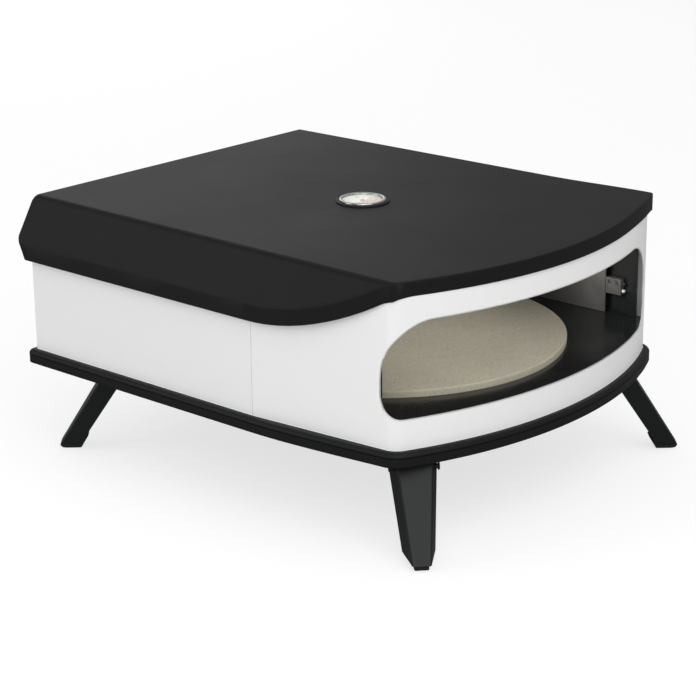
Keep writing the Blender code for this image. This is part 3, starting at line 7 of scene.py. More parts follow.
import logging
import math
from bisect import bisect_left
from dataclasses import dataclass, field, replace
from enum import Enum
from typing import Iterable, Sequence

import bmesh
import bpy
from bmesh.types import BMEdge, BMesh, BMFace, BMVert
from bpy.types import Material, Node, NodeSocket, NodeTree, Object
from mathutils import Matrix, Vector


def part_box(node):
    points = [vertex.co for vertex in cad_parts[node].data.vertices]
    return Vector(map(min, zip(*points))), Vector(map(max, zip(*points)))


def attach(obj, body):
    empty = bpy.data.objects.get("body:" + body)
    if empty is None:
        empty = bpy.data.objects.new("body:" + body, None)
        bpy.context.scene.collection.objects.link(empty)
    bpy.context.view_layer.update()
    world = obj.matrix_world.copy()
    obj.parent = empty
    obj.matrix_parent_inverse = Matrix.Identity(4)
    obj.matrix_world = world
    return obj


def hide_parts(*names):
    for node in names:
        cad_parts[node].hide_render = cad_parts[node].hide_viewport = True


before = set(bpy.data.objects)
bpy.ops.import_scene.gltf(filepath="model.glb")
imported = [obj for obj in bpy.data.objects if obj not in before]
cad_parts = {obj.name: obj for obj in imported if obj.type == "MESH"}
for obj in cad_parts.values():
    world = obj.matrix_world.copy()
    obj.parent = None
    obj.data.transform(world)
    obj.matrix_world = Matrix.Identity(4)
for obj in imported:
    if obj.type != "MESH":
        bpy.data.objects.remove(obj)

LOG = logging.getLogger("pizza_oven")
MM = 0.001
PHOTO_PIXELS = 696
FIT = 0.3 * MM
MERGE = 0.002 * MM
SHARP = math.radians(32.0)
QUARTER = math.pi / 2
FULL_TURN = 2 * math.pi
UPRIGHT = Matrix.Rotation(QUARTER, 4, "X")
UP = Vector((0.0, 0.0, 1.0))
FORWARD = Vector((0.0, -1.0, 0.0))
BACKWARD = Vector((0.0, 1.0, 0.0))
ACROSS = Vector((1.0, 0.0, 0.0))
INK = 0.02 * MM
SHADER = "Principled BSDF"

Colour = tuple[float, float, float, float]
Pairs = list[tuple[float, float]]
Pattern = dict[str, NodeSocket]


def linear(hex_colour: str, gain: float = 1.0) -> Colour:
    """Turn an sRGB hex colour into linear RGBA.

    Args:
        hex_colour: The colour as "#rrggbb".
        gain: A factor on the linear value, for a lighter or darker shade of it.

    Returns:
        The linear colour with an alpha of 1.
    """
    shares = [int(hex_colour[i:i + 2], 16) / 255 for i in (1, 3, 5)]
    red, green, blue = (s / 12.92 if s <= 0.04045 else ((s + 0.055) / 1.055) ** 2.4 for s in shares)
    return min(red * gain, 1.0), min(green * gain, 1.0), min(blue * gain, 1.0), 1.0


def add_node(tree: NodeTree, kind: str, options: dict | None = None, sockets: dict | None = None) -> Node:
    """Add one node to a material.

    Args:
        tree: The material's nodes.
        kind: The node's Blender type.
        options: Values of the node itself.
        sockets: Values for its inputs, by name or number; a node's output is linked instead.

    Returns:
        The new node.
    """
    made = tree.nodes.new(kind)
    for name, value in (options or {}).items():
        setattr(made, name, value)
    for name, value in (sockets or {}).items():
        if isinstance(value, NodeSocket):
            tree.links.new(value, made.inputs[name])
        else:
            made.inputs[name].default_value = value
    return made


@dataclass(frozen=True)
class Finish:
    """What a surface is made of and how it was made.

    Attributes:
        slot: The record's material slot that it stands for; not used.
        metallic: 1 for bare metal, 0 for anything else.
        specular: Strength of the shine on a surface that isn't metal.
        depth_mm: Depth of its relief.
    """

    name: str
    slot: str
    colour: str
    roughness: float
    metallic: float = 0.0
    specular: float = 0.5
    depth_mm: float = 0.0

    def build(self) -> Material:
        """Make the Blender material.

        Returns:
            The material, with the finish's own pattern linked to its shader.
        """
        material = bpy.data.materials.new(self.name)
        material.use_nodes = True
        tree = material.node_tree
        shader = tree.nodes[SHADER]
        for socket, value in (("Base Color", linear(self.colour)), ("Roughness", self.roughness),
                              ("Metallic", self.metallic), ("Specular IOR Level", self.specular)):
            shader.inputs[socket].default_value = value
        pattern = self.pattern(tree, add_node(tree, "ShaderNodeTexCoord").outputs["Object"])
        if "Height" in pattern:
            bump = add_node(tree, "ShaderNodeBump", {}, {
                "Strength": 1.0, "Distance": self.depth_mm * MM, "Height": pattern.pop("Height")})
            pattern["Normal"] = bump.outputs["Normal"]
        for name, socket in pattern.items():
            tree.links.new(socket, shader.inputs[name])
        return material

    def pattern(self, tree: NodeTree, place: NodeSocket) -> Pattern:
        """Add the nodes that are special to this finish.

        Args:
            tree: The material's nodes.
            place: Object coordinates in metres.

        Returns:
            What goes into the shader's inputs, and the height of the relief.
        """
        raise NotImplementedError


@dataclass(frozen=True)
class PowderCoat(Finish):
    """Baked powder paint on steel sheet: a satin skin with a faint orange peel.

    Real peel is 1 to 2 mm across, too fine to show, so it is drawn at peel_mm. Broad soft
    clouds in tone and gloss keep a large face from looking printed.
    """

    depth_mm: float = 0.006
    peel_mm: float = 3.5
    cloud_mm: float = 110.0
    tone_share: float = 0.05
    gloss_share: float = 0.06

    def pattern(self, tree: NodeTree, place: NodeSocket) -> Pattern:
        """Cloud the tone and the gloss, and raise the peel."""
        clouds = add_node(tree, "ShaderNodeTexNoise", {}, {
            "Vector": place, "Scale": 1 / (self.cloud_mm * MM), "Detail": 5.0, "Roughness": 0.62})
        tone = add_node(tree, "ShaderNodeMix", {"data_type": "RGBA"}, {
            0: clouds.outputs["Fac"], 6: linear(self.colour, 1 - self.tone_share),
            7: linear(self.colour, 1 + self.tone_share)})
        gloss = add_node(tree, "ShaderNodeMapRange", {}, {
            "Value": clouds.outputs["Fac"], "From Min": 0.3, "From Max": 0.7,
            "To Min": self.roughness + self.gloss_share, "To Max": self.roughness - self.gloss_share})
        peel = add_node(tree, "ShaderNodeTexNoise", {}, {
            "Vector": place, "Scale": 1 / (self.peel_mm * MM), "Detail": 2.0, "Roughness": 0.45})
        return {"Base Color": tone.outputs[2], "Roughness": gloss.outputs[0],
                "Height": peel.outputs["Fac"]}


@dataclass(frozen=True)
class VitreousEnamel(Finish):
    """Glass fired on to steel: deep, glossy and slightly wavy, with fine pale specks.

    The specks are 0.4 mm in a real frit and are drawn at speck_mm so that they show.
    """

    depth_mm: float = 0.030
    speck: str = "#6b6a64"
    speck_mm: float = 1.6
    wave_mm: float = 26.0

    def pattern(self, tree: NodeTree, place: NodeSocket) -> Pattern:
        """Scatter the specks, smear the gloss and wave the glass."""
        cells = add_node(tree, "ShaderNodeTexVoronoi", {"feature": "F1"}, {
            "Vector": place, "Scale": 1 / (self.speck_mm * MM), "Randomness": 1.0})
        specks = add_node(tree, "ShaderNodeMapRange", {}, {
            "Value": cells.outputs["Distance"], "From Min": 0.10, "From Max": 0.20,
            "To Min": 0.75, "To Max": 0.0})
        tone = add_node(tree, "ShaderNodeMix", {"data_type": "RGBA"}, {
            0: specks.outputs["Result"], 6: linear(self.colour), 7: linear(self.speck)})
        smears = add_node(tree, "ShaderNodeTexNoise", {}, {
            "Vector": place, "Scale": 1 / (3 * self.wave_mm * MM), "Detail": 6.0, "Roughness": 0.65})
        gloss = add_node(tree, "ShaderNodeMapRange", {}, {
            "Value": smears.outputs["Fac"], "From Min": 0.35, "From Max": 0.70,
            "To Min": self.roughness * 0.75, "To Max": self.roughness * 1.45})
        waves = add_node(tree, "ShaderNodeTexNoise", {}, {
            "Vector": place, "Scale": 1 / (self.wave_mm * MM), "Detail": 1.0})
        return {"Base Color": tone.outputs[2], "Roughness": gloss.outputs[0],
                "Height": waves.outputs["Fac"]}


@dataclass(frozen=True)
class BrushedMetal(Finish):
    """Bare metal rubbed in one direction: long fine scratches that break up its shine.

    Real scratches are 0.05 mm wide; they are drawn line_mm wide and stretch times as long.

    Attributes:
        stretch: How many times a scratch is longer than wide along X, Y and Z.
        tint: A second colour, such as the straw and blue of heated steel.
    """

    depth_mm: float = 0.004
    line_mm: float = 0.7
    stretch: tuple[float, float, float] = (1.0, 30.0, 1.0)
    tint: str = "#8f8f8c"
    tint_share: float = 0.35
    tint_mm: float = 40.0

    def pattern(self, tree: NodeTree, place: NodeSocket) -> Pattern:
        """Draw the scratches into colour, gloss and relief, over clouds of the tint."""
        scale = [1 / (self.line_mm * MM * along) for along in self.stretch]
        lines = add_node(tree, "ShaderNodeMapping", {}, {"Vector": place, "Scale": scale})
        scratches = add_node(tree, "ShaderNodeTexNoise", {}, {
            "Vector": lines.outputs["Vector"], "Scale": 1.0, "Detail": 3.0, "Roughness": 0.6})
        clouds = add_node(tree, "ShaderNodeTexNoise", {}, {
            "Vector": place, "Scale": 1 / (self.tint_mm * MM), "Detail": 4.0, "Roughness": 0.6})
        share = add_node(tree, "ShaderNodeMapRange", {}, {
            "Value": clouds.outputs["Fac"], "From Min": 0.40, "From Max": 0.65,
            "To Min": 0.0, "To Max": self.tint_share})
        tinted = add_node(tree, "ShaderNodeMix", {"data_type": "RGBA"}, {
            0: share.outputs["Result"], 6: linear(self.colour), 7: linear(self.tint)})
        tone = add_node(tree, "ShaderNodeMix", {"data_type": "RGBA", "blend_type": "MULTIPLY"}, {
            0: 0.22, 6: tinted.outputs[2], 7: scratches.outputs["Fac"]})
        gloss = add_node(tree, "ShaderNodeMapRange", {}, {
            "Value": scratches.outputs["Fac"], "From Min": 0.3, "From Max": 0.7,
            "To Min": self.roughness * 0.8, "To Max": self.roughness * 1.25})
        return {"Base Color": tone.outputs[2], "Roughness": gloss.outputs[0],
                "Height": scratches.outputs["Fac"]}


@dataclass(frozen=True)
class ZincCoat(Finish):
    """Hot-dip galvanising: flat crystals of zinc, 8 mm across, each with its own grey."""

    spangle_mm: float = 8.0

    def pattern(self, tree: NodeTree, place: NodeSocket) -> Pattern:
        """Give each crystal its own grey and gloss."""
        cells = add_node(tree, "ShaderNodeTexVoronoi", {"feature": "F1"}, {
            "Vector": place, "Scale": 1 / (self.spangle_mm * MM), "Randomness": 1.0})
        grey = add_node(tree, "ShaderNodeSeparateColor", {}, {"Color": cells.outputs["Color"]})
        tone = add_node(tree, "ShaderNodeMix", {"data_type": "RGBA"}, {
            0: grey.outputs["Red"], 6: linear(self.colour, 0.78), 7: linear(self.colour, 1.12)})
        gloss = add_node(tree, "ShaderNodeMapRange", {}, {
            "Value": grey.outputs["Green"], "To Min": self.roughness * 0.8,
            "To Max": self.roughness * 1.2})
        return {"Base Color": tone.outputs[2], "Roughness": gloss.outputs[0]}


@dataclass(frozen=True)
class FiredStone(Finish):
    """Pressed and fired cordierite: matt, sandy, with pale and rusty grains and open pores.

    Attributes:
        pale: Colour of the lighter grains.
        rust: Colour of the iron-bearing grains.
    """

    depth_mm: float = 0.10
    pale: str = "#d8cdb2"
    rust: str = "#8a7350"
    grain_mm: float = 2.4
    pore_mm: float = 9.0

    def pattern(self, tree: NodeTree, place: NodeSocket) -> Pattern:
        """Mottle the body, sprinkle the grains, and sink the pores."""
        mottle = add_node(tree, "ShaderNodeTexNoise", {}, {
            "Vector": place, "Scale": 1 / (22 * self.grain_mm * MM), "Detail": 8.0, "Roughness": 0.6})
        body = add_node(tree, "ShaderNodeMix", {"data_type": "RGBA"}, {
            0: mottle.outputs["Fac"], 6: linear(self.colour, 0.86), 7: linear(self.colour, 1.10)})
        sand = add_node(tree, "ShaderNodeTexNoise", {}, {
            "Vector": place, "Scale": 1 / (self.grain_mm * MM), "Detail": 4.0, "Roughness": 0.7})
        light = add_node(tree, "ShaderNodeMapRange", {}, {
            "Value": sand.outputs["Fac"], "From Min": 0.52, "From Max": 0.70, "To Max": 0.55})
        paler = add_node(tree, "ShaderNodeMix", {"data_type": "RGBA"}, {
            0: light.outputs["Result"], 6: body.outputs[2], 7: linear(self.pale)})
        dark = add_node(tree, "ShaderNodeMapRange", {}, {
            "Value": sand.outputs["Fac"], "From Min": 0.44, "From Max": 0.30, "To Max": 0.50})
        rusty = add_node(tree, "ShaderNodeMix", {"data_type": "RGBA"}, {
            0: dark.outputs["Result"], 6: paler.outputs[2], 7: linear(self.rust)})
        pores = add_node(tree, "ShaderNodeTexVoronoi", {"feature": "F1"}, {
            "Vector": place, "Scale": 1 / (self.pore_mm * MM), "Randomness": 1.0})
        holes = add_node(tree, "ShaderNodeMapRange", {}, {
            "Value": pores.outputs["Distance"], "From Min": 0.06, "From Max": 0.12,
            "To Min": 0.6, "To Max": 0.0})
        pitted = add_node(tree, "ShaderNodeMix", {"data_type": "RGBA"}, {
            0: holes.outputs["Result"], 6: rusty.outputs[2], 7: linear(self.rust, 0.6)})
        relief = add_node(tree, "ShaderNodeMath", {"operation": "SUBTRACT"}, {
            0: sand.outputs["Fac"], 1: holes.outputs["Result"]})
        return {"Base Color": pitted.outputs[2], "Height": relief.outputs["Value"]}


@dataclass(frozen=True)
class Moulded(Finish):
    """Rubber, plastic, glazed ceramic or print: one tone with the fine grain of its mould."""

    depth_mm: float = 0.012
    grain_mm: float = 1.2
    glaze: float = 0.0

    def pattern(self, tree: NodeTree, place: NodeSocket) -> Pattern:
        """Grain the surface and vary its tone and gloss a little."""
        tree.nodes[SHADER].inputs["Coat Weight"].default_value = self.glaze
        grain = add_node(tree, "ShaderNodeTexNoise", {}, {
            "Vector": place, "Scale": 1 / (self.grain_mm * MM), "Detail": 3.0})
        clouds = add_node(tree, "ShaderNodeTexNoise", {}, {
            "Vector": place, "Scale": 1 / (18 * self.grain_mm * MM), "Detail": 4.0})
        tone = add_node(tree, "ShaderNodeMix", {"data_type": "RGBA"}, {
            0: clouds.outputs["Fac"], 6: linear(self.colour, 0.88), 7: linear(self.colour, 1.14)})
        gloss = add_node(tree, "ShaderNodeMapRange", {}, {
            "Value": clouds.outputs["Fac"], "From Min": 0.3, "From Max": 0.7,
            "To Min": self.roughness * 0.9, "To Max": min(self.roughness * 1.12, 1.0)})
        return {"Base Color": tone.outputs[2], "Roughness": gloss.outputs[0],
                "Height": grain.outputs["Fac"]}


@dataclass(frozen=True)
class FibreBlanket(Finish):
    """Pressed ceramic wool: matt white fibres lying flat in every direction."""

    depth_mm: float = 0.4
    fibre_mm: float = 1.5

    def pattern(self, tree: NodeTree, place: NodeSocket) -> Pattern:
        """Felt the surface with a twisted noise."""
        fibres = add_node(tree, "ShaderNodeTexNoise", {}, {
            "Vector": place, "Scale": 1 / (self.fibre_mm * MM), "Detail": 6.0, "Distortion": 2.5})
        tone = add_node(tree, "ShaderNodeMix", {"data_type": "RGBA"}, {
            0: fibres.outputs["Fac"], 6: linear(self.colour, 0.8), 7: linear(self.colour, 1.05)})
        return {"Base Color": tone.outputs[2], "Height": fibres.outputs["Fac"]}


@dataclass(frozen=True)
class ClearGlass(Finish):
    """Polished flat glass: clear, with a faint smear in its gloss, and it lets light through."""

    smear_mm: float = 9.0
    ior: float = 1.5

    def pattern(self, tree: NodeTree, place: NodeSocket) -> Pattern:
        """Let light pass, and give shadow rays a clear way to the dial."""
        shader = tree.nodes[SHADER]
        shader.inputs["Transmission Weight"].default_value = 1.0
        shader.inputs["IOR"].default_value = self.ior
        smears = add_node(tree, "ShaderNodeTexNoise", {}, {
            "Vector": place, "Scale": 1 / (self.smear_mm * MM), "Detail": 3.0})
        gloss = add_node(tree, "ShaderNodeMapRange", {}, {
            "Value": smears.outputs["Fac"], "To Min": self.roughness, "To Max": self.roughness * 2})
        ray = add_node(tree, "ShaderNodeLightPath")
        clear = add_node(tree, "ShaderNodeBsdfTransparent")
        either = add_node(tree, "ShaderNodeMixShader", {}, {
            0: ray.outputs["Is Shadow Ray"], 1: shader.outputs["BSDF"], 2: clear.outputs["BSDF"]})
        tree.links.new(either.outputs["Shader"], tree.nodes["Material Output"].inputs["Surface"])
        return {"Roughness": gloss.outputs[0]}


class Look(Enum):
    """The finishes of the oven."""

    WALL = PowderCoat("white_powder_coat", "white_enamel", "#e6e7e6", 0.42, specular=0.35,
                      tone_share=0.012)
    LID = PowderCoat("black_satin_powder_coat", "black_enamel", "#141414", 0.50, specular=0.20,
                     tone_share=0.015, gloss_share=0.015)
    TRAY = PowderCoat("black_tray_powder_coat", "black_enamel", "#131414", 0.48, specular=0.22,
                      tone_share=0.02, gloss_share=0.02)
    LEG = PowderCoat("graphite_leg_powder_coat", "leg_coat", "#111314", 0.40, specular=0.33,
                     tone_share=0.03, gloss_share=0.03)
    COVER = PowderCoat("black_cover_powder_coat", "black_coat", "#1c1c1c", 0.50, specular=0.35)
    LINER = VitreousEnamel("black_vitreous_enamel", "dark_enamel", "#1d1e1f", 0.20)
    DARK_STEEL = BrushedMetal("heat_darkened_steel", "dark_steel", "#767573", 0.42, metallic=0.45,
                              stretch=(1.0, 25.0, 1.0), tint="#4a4238")
    STEEL = BrushedMetal("brushed_stainless_steel", "steel", "#bdbcb8", 0.30, metallic=1.0,
                         stretch=(6.0, 6.0, 1.0))
    BURNER_STEEL = BrushedMetal("heat_tinted_stainless_steel", "steel", "#a39c90", 0.34, metallic=1.0,
                                stretch=(1.0, 30.0, 1.0), tint="#7d6a4e", tint_share=0.6)
    CHROME = BrushedMetal("polished_chrome_ring", "chrome", "#e2e2e0", 0.12, metallic=1.0,
                          depth_mm=0.001, stretch=(4.0, 4.0, 1.0), tint="#c9cacc")
    ZINC = ZincCoat("galvanised_steel", "galvanised", "#b9bcbf", 0.45, metallic=1.0)
    BRASS = BrushedMetal("turned_brass", "brass", "#c9a65c", 0.30, metallic=1.0,
                         stretch=(8.0, 1.0, 8.0), tint="#a8843f")
    CERAMIC = Moulded("glazed_ceramic", "ceramic", "#e4e0d6", 0.35, glaze=0.6)
    STONE = FiredStone("fired_cordierite", "stone", "#bdb7a4", 0.90, specular=0.25)
    WOOL = FibreBlanket("ceramic_wool_blanket", "wool", "#eae8e1", 0.95)
    FOOT = Moulded("moulded_foot_rubber", "foot_rubber", "#161616", 0.70)
    SEAT = Moulded("moulded_seat_rubber", "seat_rubber", "#141414", 0.55)
    KNOB = Moulded("moulded_knob_plastic", "knob_plastic", "#1b1b1b", 0.48)
    DIAL = Moulded("printed_dial_plate", "dial", "#e9ead2", 0.55, depth_mm=0.002)
    # A warm brown painted reflection, laid over the dial's front half like a print.
    DIAL_PAINTED_REFLECTION = Moulded("dial_painted_reflection_band", "dial", "#c3a283", 0.55, depth_mm=0.002)
    DIAL_INK = Moulded("printed_dial_ink", "dial", "#2b2a26", 0.55, depth_mm=0.002)
    PALE_INK = Moulded("printed_pale_ink", "steel", "#e8e8e4", 0.50, depth_mm=0.002)
    DARK_INK = Moulded("printed_dark_ink", "steel", "#1e1e1e", 0.50, depth_mm=0.002)
    NEEDLE = Moulded("painted_needle", "needle", "#a8281c", 0.40, depth_mm=0.002)
    GLASS = ClearGlass("clear_flat_glass", "glass", "#f7faf9", 0.02)


class Body(Enum):
    """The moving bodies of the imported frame."""

    OVEN = "oven_body"
    STONE = "turning_stone"
    NEEDLE = "dial_needle"
    SHAFT = "valve_shaft"
    KNOB = "control_knob"
    FRONT_LEFT = "front_left_leg"
    FRONT_RIGHT = "front_right_leg"
    REAR_LEFT = "rear_left_leg"
    REAR_RIGHT = "rear_right_leg"


def arc_steps(radius: float, first: float, last: float, count: int) -> Pairs:
    """Cut a rounded fold into straight steps.

    Args:
        radius: Radius of the fold.
        first: Direction it starts in, in degrees: 0 runs inwards, 90 runs down.
        last: Direction it ends in.
        count: Number of steps.

    Returns:
        How far each step goes inwards and down.
    """
    side = 1.0 if last > first else -1.0
    turns = [math.radians(first + (last - first) * i / count) for i in range(count + 1)]
    return [(side * radius * (math.sin(b) - math.sin(a)), side * radius * (math.cos(a) - math.cos(b)))
            for a, b in zip(turns, turns[1:])]


def press(bm: BMesh, faces: list[BMFace], steps: Pairs) -> None:
    """Draw flat faces in and down, ring by ring, as a press does.

    Args:
        bm: The mesh.
        faces: The faces inside the ring; they move with the last step.
        steps: How far each step goes inwards and down.
    """
    for inward, down in steps:
        bmesh.ops.inset_region(bm, faces=faces, thickness=max(inward, MERGE), depth=-down,
                               use_boundary=True, use_even_offset=True)


def closed_line(bm: BMesh, outline: Pairs, height: float) -> list[BMEdge]:
    """Draw a closed line of edges at a height.

    Args:
        bm: The mesh.
        outline: Its corners as (x, y).
        height: Its height.

    Returns:
        Its edges.
    """
    corners = [bm.verts.new((x, y, height)) for x, y in outline]
    return [bm.edges.new((corners[i - 1], corners[i])) for i in range(len(corners))]


def flat_face(bm: BMesh, outline: Pairs, height: float, up: bool = True) -> BMFace:
    """Fill a closed line with one flat face.

    Args:
        bm: The mesh.
        outline: Its corners as (x, y).
        height: Its height.
        up: Whether it faces up.

    Returns:
        The face.
    """
    face = bmesh.ops.contextual_create(bm, geom=closed_line(bm, outline, height))["faces"][0]
    face.normal_update()
    if (face.normal.z > 0) != up:
        face.normal_flip()
    return face


def upright_face(bm: BMesh, left: float, right: float, low: float, high: float) -> BMFace:
    """Make one upright rectangle that faces -Y.

    Args:
        bm: The mesh.
        left: Its lowest X.
        right: Its highest X.
        low: Its lowest Z.
        high: Its highest Z.

    Returns:
        The face.
    """
    middle = Matrix.Translation(((left + right) / 2, 0.0, (low + high) / 2))
    size = Matrix.Diagonal((right - left, high - low, 1.0, 1.0))
    made = bmesh.ops.create_grid(bm, x_segments=1, y_segments=1, size=0.5, matrix=middle @ UPRIGHT @ size)
    return made["verts"][0].link_faces[0]


def rounded(bm: BMesh, geometry: list, radius: float, segments: int, kind: str = "EDGES") -> None:
    """Round edges, or with VERTICES the corners of an outline."""
    bmesh.ops.bevel(bm, geom=geometry, offset=radius, offset_type="OFFSET", segments=segments,
                    profile=0.5, affect=kind, material=-1)


def fill_between(bm: BMesh, edges: Iterable[BMEdge], normal: Vector) -> None:
    """Fill the flat space between closed lines.

    Args:
        bm: The mesh.
        edges: The edges of the outer line and of the holes.
        normal: The side that the new faces look to.
    """
    made = bmesh.ops.triangle_fill(bm, edges=list(edges), use_beauty=True, normal=normal)["geom"]
    for face in made:
        if isinstance(face, BMFace) and face.normal.dot(normal) < 0:
            face.normal_flip()


def drop_faces(bm: BMesh, faces: list[BMFace]) -> None:
    """Delete faces and keep their edges."""
    bmesh.ops.delete(bm, geom=faces, context="FACES_ONLY")


def punch(bm: BMesh, x: float, z: float, radius: float, segments: int) -> None:
    """Draw the edge of a round hole in an upright sheet."""
    bmesh.ops.create_circle(bm, cap_ends=False, segments=segments, radius=radius,
                            matrix=Matrix.Translation((x, 0.0, z)) @ UPRIGHT)


def lay_sheet(bm: BMesh, holes: list[BMEdge], left: float, right: float, low: float,
              high: float) -> None:
    """Lay a flat upright sheet that faces -Y round its holes.

    Args:
        bm: The mesh.
        holes: The edges of the holes.
        left: The sheet's lowest X.
        right: Its highest X.
        low: Its lowest Z.
        high: Its highest Z.
    """
    sheet = upright_face(bm, left, right, low, high)
    outer = list(sheet.edges)
    drop_faces(bm, [sheet])
    fill_between(bm, outer + holes, FORWARD)


def cut(bm: BMesh, place: Sequence[float], normal: Sequence[float], clear: bool = False) -> None:
    """Cut the whole mesh with a plane; clear drops what lies beyond it."""
    bmesh.ops.bisect_plane(bm, geom=bm.verts[:] + bm.edges[:] + bm.faces[:], dist=MERGE,
                           plane_co=place, plane_no=normal, clear_outer=clear)


def draw_rim(bm: BMesh, edges: list[BMEdge], moves: Iterable[Sequence[float]]) -> list[BMEdge]:
    """Extrude open edges step by step.

    Args:
        bm: The mesh.
        edges: The edges to draw out.
        moves: The step of each extrusion.

    Returns:
        The last edges.
    """
    for move in moves:
        made = bmesh.ops.extrude_edge_only(bm, edges=edges)["geom"]
        bmesh.ops.translate(bm, vec=move, verts=[item for item in made if isinstance(item, BMVert)])
        edges = [item for item in made if isinstance(item, BMEdge) and item.is_boundary
                 and len(item.link_faces) == 1 and all(v in made for v in item.verts)]
    return edges


def welded(bm: BMesh) -> BMesh:
    """Merge doubles."""
    bmesh.ops.remove_doubles(bm, verts=bm.verts, dist=MERGE)
    return bm


def settled(bm: BMesh) -> BMesh:
    """Merge doubles and turn the normals outward.

    Args:
        bm: The mesh.

    Returns:
        The same mesh.
    """
    bmesh.ops.dissolve_degenerate(welded(bm), edges=bm.edges, dist=MERGE)
    bmesh.ops.recalc_face_normals(bm, faces=bm.faces)
    return bm


def turned(profile: Pairs, rounds: dict[int, float] | None = None, steps: int = 64,
           segments: int = 5) -> BMesh:
    """Turn a profile once round Z.

    Args:
        profile: Its (radius, height) corners; one that ends where it starts is a closed ring.
        rounds: Radii of rounded corners, by the corner's number.
        steps: Edges in the full circle.
        segments: Edges in each rounded corner.

    Returns:
        The turned mesh, with its normals outward.
    """
    bm = bmesh.new()
    closed = profile[0] == profile[-1]
    corners = [bm.verts.new((radius, 0.0, height)) for radius, height in profile[:len(profile) - closed]]
    for one, other in zip(corners, corners[1:] + corners[:1] * closed):
        bm.edges.new((one, other))
    for number, radius in (rounds or {}).items():
        rounded(bm, [corners[number]], radius, segments, "VERTICES")
    bmesh.ops.spin(bm, geom=bm.verts[:] + bm.edges[:], cent=(0.0, 0.0, 0.0), axis=UP,
                   dvec=(0.0, 0.0, 0.0), angle=FULL_TURN, steps=steps, use_merge=True,
                   use_duplicate=False)
    return settled(bm)


def box(low: Vector, high: Vector) -> BMesh:
    """Make a plain box.

    Args:
        low: Its lowest corner.
        high: Its highest corner.

    Returns:
        The box.
    """
    bm = bmesh.new()
    matrix = Matrix.Translation((high + low) / 2) @ Matrix.Diagonal((*(high - low), 1.0))
    bmesh.ops.create_cube(bm, size=1.0, matrix=matrix)
    return bm


def block(low: Vector, high: Vector, rounding: float, segments: int = 3) -> BMesh:
    """Make a box with rounded edges.

    Args:
        low: Its lowest corner.
        high: Its highest corner.
        rounding: Radius of its edges.
        segments: Edges across each rounding.

    Returns:
        The box.
    """
    bm = box(low, high)
    rounded(bm, bm.edges[:] + bm.verts[:], rounding, segments)
    return bm


def joined(*pieces: BMesh) -> BMesh:
    """Put several meshes into one.

    Args:
        pieces: The meshes; they are used up.

    Returns:
        The whole.
    """
    whole = bmesh.new()
    for piece in pieces:
        mesh = bpy.data.meshes.new("piece")
        piece.to_mesh(mesh)
        piece.free()
        whole.from_mesh(mesh)
        bpy.data.meshes.remove(mesh)
    return whole


def moved(bm: BMesh, matrix: Matrix) -> BMesh:
    """Place a mesh by a matrix."""
    bmesh.ops.transform(bm, matrix=matrix, verts=bm.verts)
    return bm


def between(start: Vector, end: Vector) -> Matrix:
    """The matrix that lays +Z along the way from one point to another, with its foot on the first."""
    return Matrix.Translation(start) @ (end - start).to_track_quat("Z", "Y").to_matrix().to_4x4()


def hexagon_angle(flat: Vector) -> float:
    """Give how far a direction lies from the middle of its side of a hexagon."""
    return math.atan2(flat.y, flat.x) % (math.pi / 3) - math.pi / 6


def figure(text: str, size: float) -> BMesh:
    """Write a plain number as a flat mesh, centred on the origin.

    Args:
        text: The number.
        size: Its height.

    Returns:
        The flat mesh, facing +Z.
    """
    curve = bpy.data.curves.new("figure", "FONT")
    curve.body = text
    curve.size = size
    curve.align_x = "CENTER"
    curve.align_y = "CENTER"
    curve.resolution_u = 3
    writing = bpy.data.objects.new("figure", curve)
    bpy.context.scene.collection.objects.link(writing)
    shape = bpy.data.meshes.new_from_object(
        writing.evaluated_get(bpy.context.evaluated_depsgraph_get()))
    bpy.data.objects.remove(writing)
    bpy.data.curves.remove(curve)
    bm = bmesh.new()
    bm.from_mesh(shape)
    bpy.data.meshes.remove(shape)
    return bm


def tick(bm: BMesh, angle: float, middle: float, length: float, width: float) -> None:
    """Draw one flat mark of a round scale, with its middle that far from Z."""
    place = (Matrix.Rotation(angle, 4, "Z") @ Matrix.Translation((middle, 0.0, 0.0))
             @ Matrix.Diagonal((length, width, 1.0, 1.0)))
    bmesh.ops.create_grid(bm, x_segments=1, y_segments=1, size=0.5, matrix=place)


def printed(ink: BMesh) -> BMesh:
    """Give flat ink its thickness."""
    bmesh.ops.solidify(ink, geom=ink.faces[:], thickness=INK)
    return ink


